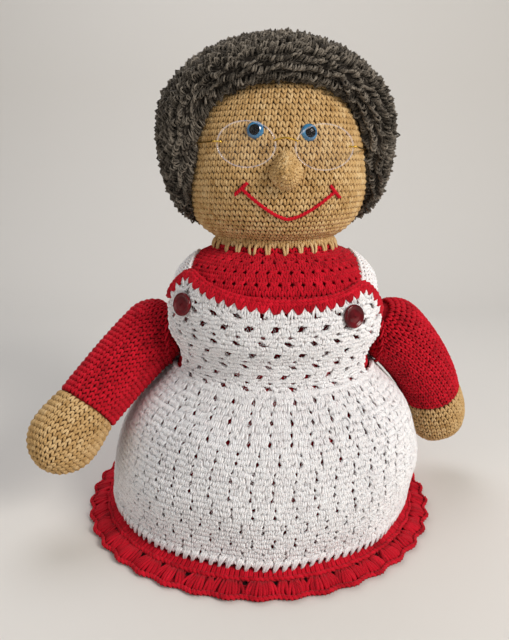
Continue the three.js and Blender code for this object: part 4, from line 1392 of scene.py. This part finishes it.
def make_flounce():
    random = np.random.default_rng(31)
    columns, lines = 12 * scallop_count, 24
    pitch = 2 * np.pi / scallop_count
    angle, share = np.meshgrid(ring_of(columns), np.linspace(0, 1, lines))

    def beside_holes(faces):
        """Not in the row of small holes, one between each shell and the next."""
        first = angle.ravel()[faces[:, 0]] + np.pi / columns
        between = np.abs((first * scallop_count / (2 * np.pi) + 0.5) % 1 - 0.5)
        across = (0.5 - between) * 2 * np.pi * flounce_hole_radius / scallop_count
        out = (share.ravel()[faces].mean(axis=1) - 0.45) * flounce_reach
        return (across / flounce_hole_half_width) ** 2 + (out / flounce_hole_half_reach) ** 2 >= 1

    points, _ = flounce_surface(angle, share, -0.6)
    cloth = grid_object("flounce_cloth", points, wrapped=True, stays=beside_holes)
    finish_piece(cloth, red_cloth_painted_shade, "body", ["skirt_flounce"])

    def row_of(legs, per_shell, share, width, height, radius, lift=0.0):
        places = np.arange(0, 2 * np.pi, pitch / per_shell)
        return stitches(legs, flounce_surface, random, places, share, width, height, radius, lift)

    strands = row_of(POST_LEGS, 6, share=0.02, width=pitch / 7, height=0.36, radius=1.1)
    strands += row_of(ROPE_LEGS, 6, share=0.37, width=pitch / 6, height=0.16, radius=1.25, lift=0.3)
    for finger in np.arange(-2.5, 3):
        legs = [
            [(0.125 * finger + side * 0.025, -0.03, 0.0, 0.9), (0.15 * finger + side * 0.045, 0.3, 0.6, 1.1),
             (0.175 * finger + side * 0.055, 0.62, 0.7, 1.15), (0.18 * finger + side * 0.05, 1.0, 0.0, 0.9)]
            for side in (-1, 1)
        ]
        strands += stitches(
            legs, flounce_surface, random, np.arange(scallop_count) * pitch, along=0.42, width=pitch,
            height=0.52, radius=1.2, stray=0.035,
        )
    strands += row_of(ROPE_LEGS, 7, share=0.965, width=pitch / 7, height=0.12, radius=1.35, lift=0.3)
    yarn = add_yarn("flounce_shells", strands, red_yarn, "body")


def make_base():
    """The crocheted disc under the doll, worked outwards from its middle."""
    random = np.random.default_rng(32)
    edge = dress_places[0][0] - 4
    disc = Form([(0.01, 0), (edge, 0.01)], upright_axis(lambda height: rows_of(0, 0, 2.6 + 0 * height)))
    cloth = skin_of("base_cloth", disc, 0, disc.length, 0, rows=24)
    finish_piece(cloth, red_cloth_painted_shade, "body", ["base_panel"])
    light_legs = [[leg[0], leg[2], leg[4]] for leg in SINGLE_LEGS]
    angles, lengths, widths, step = rounds(disc, 3, edge, height=5.2, width=5.0)

    def under(angle, length, lift):
        points, normals = disc.place(angle, length, 0)
        points[..., 2] -= 0.5 + lift * 0.6
        return points, -np.abs(normals)

    strands = stitches(light_legs, under, random, angles, lengths, widths, step, radius=1.1)
    yarn = add_yarn("base_rounds", strands, red_yarn, "body", sides=4)


# Head

def face_point(side, height, lift=0.0):
    """A point of the face from the front view, with its outward direction."""
    side, height = np.asarray(side, float), np.asarray(height, float)
    cos, sin = math.cos(math.radians(face_tilt)), math.sin(math.radians(face_tilt))
    x = side * cos + (height - face_middle) * sin
    z = face_middle - side * sin + (height - face_middle) * cos
    length = head_form.length_at(z)
    angle = np.arcsin(np.clip(x / head_form.radius_at(length), -1, 1))
    return head_form.place(angle, length, lift)


def in_head(points):
    """Points of the row frame in the head's own frame, whose middle is on its axis."""
    return turned_about(points - [lean_width, 0, 0], "z", -head_turn)


def from_head(points):
    return turned_about(points, "z", head_turn) + [lean_width, 0, 0]


def shows_on_head(points):
    """Whether a place on the head is outside the hair, or only just under its edge."""
    own = in_head(points)
    degrees = np.abs(np.degrees(np.arctan2(own[:, 0], -own[:, 1])) - hair_rim_turn)
    edge = np.interp(points[:, 2], hair_rim[::-1, 1], hair_rim[::-1, 0])
    before_edge = (degrees < edge + 7) & (points[:, 2] < hair_rim[0, 1] + 4)
    return before_edge | (points[:, 2] < np.interp(degrees, *hair_rim.T) + 1)


def make_head():
    random = np.random.default_rng(41)
    cloth = skin_of("head_cloth", head_form, 0, head_form.length, -cloth_depth, columns=120, rows=80)
    finish_piece(cloth, skin_cloth_painted_shade, "head", ["head_cover"])
    bottom, top = head_form.length_at(head_rounds_bottom), head_form.length_at(head_rounds_top)
    rows = single_rounds(head_form, bottom, top, random)
    add_yarn("head_rounds", kept(rows, shows_on_head), skin_yarn, "head")


def make_neck():
    """The collar, the bottom rounds of the head, and the pairs of whip stitches that hold them together."""
    random = np.random.default_rng(42)
    neck_form = Form(neck_places, head_axis)
    collar_end = neck_form.length_at(collar_top)
    cloth = skin_of("neck_cloth", neck_form, 0, neck_form.length, -cloth_depth, columns=72, rows=6)
    finish_piece(cloth, skin_cloth_painted_shade)
    collar_rows = single_rounds(neck_form, 0.2, collar_end, random)
    collar = add_yarn("collar_rounds", collar_rows, red_yarn)
    neck_rows = single_rounds(neck_form, collar_end, neck_form.length, random)
    neck = add_yarn("neck_rounds", neck_rows, skin_yarn)

    pairs = whip_pairs
    angle = 2 * np.pi * (np.arange(pairs) + 0.3) / pairs + random.normal(0, 0.012, pairs)
    steps = np.linspace(0, 1, 7)
    strands = []
    for way in (-1, 1):
        spread = way * (0.014 + 0.024 * steps) + random.normal(0, 0.01, (pairs, 1))
        height = whip_foot + random.normal(0, 0.5, (pairs, 1)) + whip_height * steps
        lift = 0.9 + 2.0 * np.sin(np.pi * steps) ** 0.6
        points, normals = neck_form.place(angle[:, None] + spread, neck_form.length_at(height), lift)
        radii = np.full((pairs, len(steps)), whip_radius)
        strands.append((points, normals, radii, random.uniform(0.5, 1, pairs)))
    whips = add_yarn("neck_stitches", strands, skin_yarn, replaces=["neck_seam"])
    for piece in (cloth, collar, neck, whips):
        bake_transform(piece)


# Nose

nose_round = nose_half_height * math.pi / 2


def nose_surface(angle, length, lift):
    """The nose, wider below: an angle about a line that points forward, and a length from the tip."""
    share = np.clip(length / nose_round, 0, 1.25)
    flat = np.sin(share * np.pi / 2)
    height = (nose_half_height - nose_yarn + lift) * flat * np.cos(angle)
    squeeze = 1 - 0.4 * smoothstep(height, -2, nose_half_height)
    across = (nose_half_width - nose_yarn + lift) * flat * np.sin(angle) * squeeze
    depth = (nose_reach + 3 + lift) * np.cos(share * np.pi / 2) * (0.75 + 0.25 * squeeze)
    centre = in_head(face_point(nose_side, nose_height, 2.0)[0])
    points = rows_of(centre[0] + across, centre[1] - depth, nose_height + 0.6 + height)
    normals = unit(rows_of(flat * np.sin(angle), -np.cos(share * np.pi / 2) - 0.15, flat * np.cos(angle)))
    return from_head(points), turned_about(normals, "z", head_turn)


def make_nose_form(name, material, lift, node):
    angle, length = np.meshgrid(ring_of(40), np.linspace(0.3, 24, 20))
    points, _ = nose_surface(angle, length, lift)
    piece = grid_object(name, points, wrapped=True, closed=True)
    finish_piece(piece, material, "head", [node])


def make_nose():
    random = np.random.default_rng(43)
    make_nose_form("nose_cloth", skin_cloth_painted_shade, -nose_cloth_depth, "nose_cover")
    strands = []
    for row in range(nose_rows):
        length = 1.2 + row * nose_row_height
        radius = nose_half_width * math.sin(min((length + 1.5) / nose_round, 1) * math.pi / 2)
        count = max(6, round(2 * math.pi * radius / nose_stitch_width))
        angles = 2 * np.pi * (np.arange(count) + 0.3 * row) / count
        strands += stitches(
            SINGLE_LEGS, nose_surface, random, angles, length, 2 * np.pi / count, nose_row_height,
            nose_leg_radius,
        )
    add_yarn("nose_rounds", strands, skin_yarn, "head")
    make_nose_form("nose_filling", stuffing_fibre, -nose_filling_depth, "nose_stuffing")


# Hair

pole_angle = math.radians(hair_pole_rise)
hair_pole = unit(np.array([0.0, math.cos(pole_angle), math.sin(pole_angle)]))


def reach_of(directions, form):
    """How far rays from the middle of the hair go until they leave a form, by halving."""
    near, far = np.zeros(directions.shape[:-1]), np.full(directions.shape[:-1], 140.0)
    for _ in range(30):
        middle = (near + far) / 2
        point = hair_middle + directions * middle[..., None]
        radius = np.interp(point[..., 2], form.stations, form.radii, right=-1)
        outside = np.hypot(point[..., 0], point[..., 1]) > radius
        near, far = np.where(outside, near, middle), np.where(outside, middle, far)
    return near


def hair_rim_directions(turn):
    """Directions from the middle of the hair to its edge, for shares of the way round from the brow."""
    degrees, heights = smooth_line(hair_rim, 200).T
    radii = head_form.radius_at_height(heights)
    angles = np.radians(degrees)
    half = rows_of(radii * np.sin(angles), -radii * np.cos(angles), heights)
    whole = turned_about(np.vstack([half, (half * [-1, 1, 1])[-2::-1]]), "z", hair_rim_turn)
    reached = reached_along(whole)
    return unit(interpolate((turn % 1) * reached[-1], reached, whole) - hair_middle)


def hair_surface(turn, share, lift):
    """A share of the way round the edge, a share of the way from the face to the pole, and a lift."""
    edge = hair_rim_directions(turn)
    inner, outer = reach_of(edge, head_form), reach_of(edge, hair_form)
    roll, centre = (outer - inner) / 2, (outer + inner) / 2
    whole = np.arccos(np.clip(edge @ hair_pole, -1, 1))
    sin = np.maximum(np.sin(whole), 1e-6)[..., None]
    away = (edge * np.cos(whole)[..., None] - hair_pole) / sin
    roll_share = np.pi * roll / (np.pi * roll + whole * hair_radius)
    phase = np.pi * np.clip(share / roll_share, 0, 1)[..., None]
    roll_normal = away * np.sin(phase) - edge * np.cos(phase)
    roll_point = hair_middle + edge * centre[..., None] + roll_normal * roll[..., None]

    past = np.clip((share - roll_share) / (1 - roll_share), 0, 1)[..., None]
    arc = whole[..., None]
    directions = unit((np.sin((1 - past) * arc) * edge + np.sin(past * arc) * hair_pole) / sin)
    point = hair_middle + directions * reach_of(directions, hair_form)[..., None]
    tilt = interpolate(point[..., 2], hair_form.stations, hair_form.tilts)
    normal = unit(unit(point * [1, 1, 0]) * tilt[..., :1] + np.array([0, 0, 1.0]) * tilt[..., 1:])

    on_roll = (share < roll_share)[..., None]
    point = np.where(on_roll, roll_point, point)
    normal = np.where(on_roll, roll_normal, normal)
    deepest = -0.8 * roll[..., None] - 90 * past
    point = point + normal * np.maximum(np.asarray(lift)[..., None], deepest)
    return from_head(point), turned_about(normal, "z", head_turn)


def hair_row_length(share, steps=240):
    ring = hair_surface(np.linspace(0, 1, steps), np.full(steps, share), np.zeros(steps))[0]
    return np.linalg.norm(np.diff(ring, axis=0), axis=1).sum()


def hair_loops(share, random, crest, pitch, shade, spread):
    """A row of short slanting loops over a ridge, which waves about its row."""
    around = hair_row_length(share)
    count = max(6, round(around / pitch))
    turn = (np.arange(count) + random.uniform(0, 1) + random.normal(0, 0.3, count)) / count
    waves = max(2, round(around / hair_wave_length))
    phase = 2 * np.pi * waves * turn + random.uniform(0, 6)
    bend = hair_wave_depth * np.sin(phase) * (0.6 + 0.4 * np.sin(phase * 0.37 + 2))
    middle = share + (bend + random.normal(0, 0.35, count)) / hair_meridian
    lean = 0.62 + 0.3 * np.cos(phase) + random.normal(0, spread, count)
    tall = crest * (1 + 0.16 * np.sin(2.3 * phase + 1) + random.normal(0, 0.13, count))
    half = hair_loop_length / 2 * (1 + random.normal(0, 0.12, count))[:, None]
    steps = np.linspace(-1, 1, 5)
    place_turn = turn[:, None] + steps * half * np.sin(lean)[:, None] / around
    reach_up = steps * half * np.cos(lean)[:, None] / hair_meridian
    place_share = np.clip(middle[:, None] + reach_up, 0.004, 0.996)
    lift = -hair_root_depth + tall[:, None] * (1 - np.abs(steps) ** 2.2)
    points, normals = hair_surface(place_turn, place_share, lift)
    radii = hair_loop_radius * (1 - 0.2 * steps ** 2) * (1 + random.normal(0, 0.1, count))[:, None]
    return points, normals, radii, np.clip(random.normal(shade, 0.28, count), 0, 1)


def make_hair():
    random = np.random.default_rng(51)
    columns, lines = 180, 90
    turn, share = np.meshgrid(np.arange(columns) / columns, np.linspace(0, 0.995, lines))
    points, _ = hair_surface(turn, share, np.full(turn.shape, -hair_cloth_depth))
    cloth = grid_object("hair_cloth", points, wrapped=True, closed=True)
    finish_piece(cloth, grey_cloth_painted_shade, "head", ["hair_cap"])
    shares = (np.arange(hair_rows) + 0.4) / hair_rows
    valley_shares = shares[:-1] + 0.5 / hair_rows
    rows = [
        hair_loops(share, random, hair_crest, hair_loop_pitch, shade=0.5, spread=0.28) for share in shares
    ]
    # The valley loops take a low shade, so they come out darker than the loops on the ridges: painted shade
    # in the hair's valleys.
    valleys = [
        hair_loops(share, random, hair_valley_crest, hair_valley_pitch, shade=0.1, spread=0.9)
        for share in valley_shares
    ]
    third = hair_rows // 3
    for name, start, end in (("face", 0, third), ("side", third, 2 * third), ("crown", 2 * third, hair_rows)):
        strands = rows[start:end] + valleys[start:end]
        add_yarn(f"hair_{name}_loops", strands, grey_yarn, "head", sides=4)

    def own_surface(turn, meridian, lift):
        return hair_surface(turn, np.clip(meridian / hair_meridian, 0.01, 0.99), lift)

    hairs = fibres(
        own_surface, random.uniform(0, 1, head_hairs), random.uniform(2, 178, head_hairs), 1 / 500, random,
        **grey_hair,
    )
    add_yarn("hair_fuzz", hairs, grey_yarn, "head", sides=3)


# Eyes

def turned_piece(name, outline, sides, ring_materials, place):
    """A piece turned about its own upright axis. Each ring of faces takes the material numbered for it."""
    outline = np.asarray(outline, float)
    turn = ring_of(sides)
    radii, heights = outline[:, :1], outline[:, 1:]
    points = place(rows_of(radii * np.cos(turn), radii * np.sin(turn), heights))
    made = grid_object(name, points, wrapped=True, closed=True)
    made.data.polygons.foreach_set("material_index", np.repeat(ring_materials, sides).astype(np.int32))
    return made


def facing(spot, direction):
    """Moves points modelled lying flat so that their +Z points that way from the spot."""
    spin = Vector((0, 0, 1)).rotation_difference(Vector(direction)).to_matrix()
    return lambda points: np.asarray(points) @ np.array(spin).T + spot


def make_eyes():
    stem_radius, stem_length, brim, dome_foot, dome_rise, pupil_radius = 2, 11, 0.2, 0.9, 4.3, 3.5
    outline = [
        (0.01, -stem_length), (stem_radius, -stem_length), (stem_radius, brim), (eye_radius - 0.6, brim),
        (eye_radius, dome_foot),
    ]
    turn = np.linspace(0.15, math.pi / 2, 14)
    outline = np.vstack([
        outline, rows_of(np.maximum(eye_radius * np.cos(turn), 0.01), dome_foot + dome_rise * np.sin(turn))
    ])
    middles = (outline[:-1, 0] + outline[1:, 0]) / 2
    black = (middles < pupil_radius).astype(int)
    for name, pose in arm_poses.items():
        spot, direction = face_point(eyes_middle + pose["side"] * eye_side, eye_height, 0.3)
        direction = unit(direction + [0, -0.2, -0.22])
        place = facing(spot, direction)
        eye = turned_piece(f"{name}_eye_dome", outline, sides=36, ring_materials=black, place=place)
        finish_piece(eye, iris_plastic, "head", [f"{name}_eye"])
        eye.data.materials.append(pupil_plastic)
        refinish(f"{name}_eye_washer", washer_plastic)


# Mouth

def twisted_pair(line, normals, turns):
    """Two plies of the mouth's yarn that wind round one line."""
    across = np.cross(unit(np.gradient(line, axis=0)), normals)
    phase = np.linspace(0, 2 * np.pi * turns, len(line))
    made = []
    for start in (0, np.pi):
        offset = across * np.cos(phase + start)[:, None] + normals * np.sin(phase + start)[:, None]
        path = line + offset * mouth_yarn_radius * 0.5
        radii = np.full(len(line), mouth_yarn_radius * 0.72)
        made.append((path[None], normals[None], radii[None], np.array([0.6])))
    return made


def make_mouth():
    share = np.linspace(-1, 1, 90)
    rise = (mouth_corner_height - mouth_height) * np.abs(share) ** 1.5
    line, normals = face_point(mouth_side + mouth_half_width * share, mouth_height + rise, 2.0)
    pair = twisted_pair(line, normals, turns=14)
    add_yarn("smile", pair, red_yarn, "head", ["smile_yarn"], sides=8)
    for name, pose in arm_poses.items():
        end = np.linspace(-0.5, 0.5, 26) * mouth_tick_length * math.sqrt(0.5)
        middle = mouth_side + pose["side"] * (mouth_half_width + 0.5)
        line, normals = face_point(middle + pose["side"] * end, mouth_corner_height - end, 2.4)
        pair = twisted_pair(line, normals, turns=3)
        tick = f"{name}_mouth_tick"
        add_yarn(f"{name}_mouth_stitch", pair, red_yarn, "head", [tick], sides=8)


# Spectacles

def tilted(points):
    """Points of the face's front view, turned with its tilt, in the row frame."""
    middle = [0, 0, face_middle]
    return from_head(turned_about(np.asarray(points, float) - middle, "y", face_tilt) + middle)


def wire(name, knots, node):
    line = smooth_line(tilted(knots), 48)
    normals = unit(np.cross(unit(np.gradient(line, axis=0)), np.array([0.31, 0.2, 0.93])))
    strand = (line[None], normals[None], np.full((1, 48), wire_radius), np.array([0.5]))
    add_yarn(name, [strand], gold_wire, "glasses", [node], sides=12)


def make_lens(name, side, sides=72):
    turn = ring_of(sides)
    edge = [(0.985, -0.45), (1.0, 0), (0.985, 0.45)]
    profile = [(0.01, -0.7), (0.5, -0.72), (0.94, -0.66), *edge, (0.94, 0.66), (0.5, 0.72), (0.01, 0.7)]
    share, depth = np.array(profile).T[..., None]
    bulge = 0.9 * (1 - share ** 2)
    points = tilted(rows_of(
        side * lens_side + lens_half_width * share * np.cos(turn),
        -lens_distance - bulge + depth * lens_thickness / 1.4,
        lens_height + lens_half_height * share * np.sin(turn),
    ))
    lens = grid_object(f"{name}_lens_clear", points, wrapped=True, closed=True)
    finish_piece(lens, lens_clear, "glasses", [f"{name}_lens"])
    # The rim's faces take the paler rim material: painted highlight along the lens's edge.
    lens.data.materials.append(lens_edge_painted_highlight)
    rings = np.repeat([0, 0, 1, 1, 1, 1, 0, 0], sides)
    lens.data.polygons.foreach_set("material_index", rings.astype(np.int32))


def make_spectacles():
    front = -lens_distance - lens_thickness / 2 - wire_radius - 0.3
    end = lens_side - lens_half_width - wire_radius - 0.3
    rise = lens_height + bridge_rise
    wire("bridge_wire", [
        (-end - 3, front, rise - 2), (-end, front, rise - 1), (0, front - 0.4, rise), (end, front, rise - 1),
        (end + 3, front, rise - 2),
    ], "glasses_bridge")
    splay = math.radians(temple_splay)
    hinge_height = lens_height + 1
    for name, pose in arm_poses.items():
        side = pose["side"]
        make_lens(name, side)
        out = lens_side + lens_half_width + 2 * wire_radius + 0.3
        start = np.array([side * out, -lens_distance, hinge_height])
        tip = start + [side * temple_length * math.sin(splay), temple_length * math.cos(splay), 0]
        lug = [side * (lens_side + lens_half_width - 4), front, hinge_height]
        corner = [side * out, front, hinge_height]
        knots = [lug, corner, start * 0.94 + tip * 0.06, (start + tip) / 2, tip]
        wire(f"{name}_temple_wire", knots, f"{name}_temple")


# Buttons

def button_place(degrees, drop):
    """Where a button lies on the bib, turned a little towards the front."""
    height = bib_top - drop
    lift = float(bib_lift(height)) + fabric + 0.3
    spot, direction = dress_form.place(math.radians(degrees), dress_form.length_at(height), lift)
    return facing(spot, direction + [0, -0.25, 0.1])


def make_buttons():
    edge = button_radius + 0.7
    steps_in = [
        (1.5, 0), (0.4, 0.8), (0, 1.7), (0.2, 2.7), (0.9, 3.35), (1.7, 3.3), (2.4, 2.7), (3.2, 2.35),
        (4.4, 2.5), (5.6, 2.75), (7, 2.9),
    ]
    outline = [(0.01, 0), *((edge - inward, height) for inward, height in steps_in), (0.01, 2.95)]
    turn = np.linspace(0, math.pi, 12)
    loop = rows_of(1.9 * np.cos(turn), 0, 2.3 + 0.7 * np.sin(turn))
    for name, angle_and_drop in button_places.items():
        place = button_place(*angle_and_drop)
        button = turned_piece(
            f"{name}_button_dome", outline, sides=40, ring_materials=[0] * (len(outline) - 1), place=place,
        )
        finish_piece(button, burgundy_plastic, "body", [f"{name}_button"])
        line = place(loop)
        sideways = place([[0, 1, 0]]) - place([[0, 0, 0]])
        normals = np.repeat(sideways, len(turn), axis=0)[None]
        strands = [
            ((line + way * 0.35 * sideways)[None], normals, np.full((1, len(turn)), 0.4), np.array([0.6]))
            for way in (-1, 1)
        ]
        node = f"{name}_button_thread"
        add_yarn(f"{name}_button_stitch", strands, button_yarn, "body", [node], sides=6)


# Arms

def make_arm(name, pose):
    random = np.random.default_rng(71 + pose["side"])
    axis = arm_axis(pose)
    start = np.linspace(-np.pi / 2 + 0.35, 0, 12)[:-1]
    ball = rows_of(arm_radius * np.cos(start), arm_radius * np.sin(start))
    sleeve = Form(np.vstack([ball, arm_outline(0, cuff_distance)]), axis, lumps=0.4)
    hand = Form(arm_outline(cuff_distance - 2, hand_end), axis, lumps=0.6)
    for part, form, cloth, yarn, first in (
        ("sleeve", sleeve, red_cloth_painted_shade, red_yarn, sleeve.length_at(-21)),
        ("hand", hand, skin_cloth_painted_shade, skin_yarn, 1.5),
    ):
        under = skin_of(
            f"{name}_{part}_cloth", form, 0, form.length, -arm_cloth_depth, columns=72, rows=40,
        )
        finish_piece(under, cloth, f"{name}_arm", [f"{name}_{part}"])
        rows = single_rounds(form, first, form.length - 0.5, random, lift=-arm_stitch_depth)
        add_yarn(f"{name}_{part}_rounds", rows, yarn, f"{name}_arm")
    whole = Form(np.vstack([ball, arm_outline(0, hand_end)]), axis)
    filling = skin_of(
        f"{name}_arm_filling", whole, 0, whole.length, -arm_filling_depth, columns=48, rows=40,
    )
    finish_piece(filling, stuffing_fibre, f"{name}_arm", [f"{name}_arm_stuffing"])
    make_shoulder_seam(name, random)


def make_shoulder_seam(name, random):
    """Slanting stitches round the ring where the arm is sewn on."""
    low, high = (np.array(corner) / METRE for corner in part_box(f"{name}_shoulder_seam"))
    middle = (low + high) / 2
    ring = (high[2] - low[2]) / 2 - 1.5
    steps = np.linspace(-1, 1, 7)
    angle = ring_of(seam_stitch_count)[:, None] + steps * 0.16
    radial = rows_of(0, np.sin(angle), np.cos(angle))
    lift = 1.2 * (1 - steps ** 2)
    outward = np.array([1.0, 0, 0]) * (steps * seam_stitch_reach)[:, None]
    paths = middle + radial * (ring + lift)[..., None] + outward
    radii = np.broadcast_to(seam_stitch_radius * (1 - 0.3 * steps ** 2), paths.shape[:2])
    strands = [(paths, radial, radii, random.uniform(0.3, 0.8, seam_stitch_count))]
    seam = f"{name}_shoulder_seam"
    add_yarn(f"{name}_shoulder_stitches", strands, red_yarn, f"{name}_shoulder", [seam])


# Stage

def make_stage():
    """A floor that curves up into a wall behind."""
    bend = np.linspace(0.1, np.pi / 2, 12)
    depth = np.concatenate([np.linspace(-3000, 700, 8), 700 + 500 * np.sin(bend), [1200]])
    height = np.concatenate([np.zeros(8), 500 - 500 * np.cos(bend), [3000]])
    x, line = np.meshgrid(np.linspace(-3500, 3500, 6), np.arange(len(depth)))
    floor = grid_object("stage_sweep", rows_of(x, depth[line], height[line]))
    pale = Finish("stage_pale", Roughness=0.9, Specular_IOR_Level=0.1, Base_Color=linear("#d9d6d1"))
    floor.data.materials.append(pale.material)


def add_light(name, place, size, power, colour):
    """A round lamp that shines at the middle of the doll."""
    data = bpy.data.lights.new(name, "AREA")
    data.shape = "DISK"
    data.size = size
    data.energy = power
    data.color = linear(colour)[:3]
    light = bpy.data.objects.new(name, data)
    light.location = place
    way = Vector((0, 0, 0.2)) - Vector(place)
    light.rotation_euler = way.to_track_quat("-Z", "Y").to_euler()
    bpy.context.scene.collection.objects.link(light)


def make_lights():
    add_light("key", (1.05, -1.0, 0.95), size=0.7, power=22.5, colour="#fffaf4")
    add_light("fill", (-1.1, -1.0, 0.7), size=1.0, power=4, colour="#fff8f0")
    add_light("top", (-0.2, 0.5, 1.5), size=1.0, power=8, colour="#f6f8ff")
    world = bpy.data.worlds.new("studio")
    world.use_nodes = True
    background = world.node_tree.nodes["Background"]
    background.inputs["Color"].default_value = linear("#f4f5f6")
    background.inputs["Strength"].default_value = 0.33
    bpy.context.scene.world = world


# Assembly

make_stuffing()
make_dress()
make_yoke()
make_flounce()
make_base()
make_apron()
make_bib()
make_edging()
make_straps()
make_buttons()
make_head()
make_neck()
make_nose()
make_hair()
make_eyes()
make_mouth()
make_spectacles()
for arm_name, arm_pose in arm_poses.items():
    make_arm(arm_name, arm_pose)

refinish("base_stiffener", card_finish)

make_stage()
make_lights()
bpy.context.scene.view_settings.view_transform = "Standard"
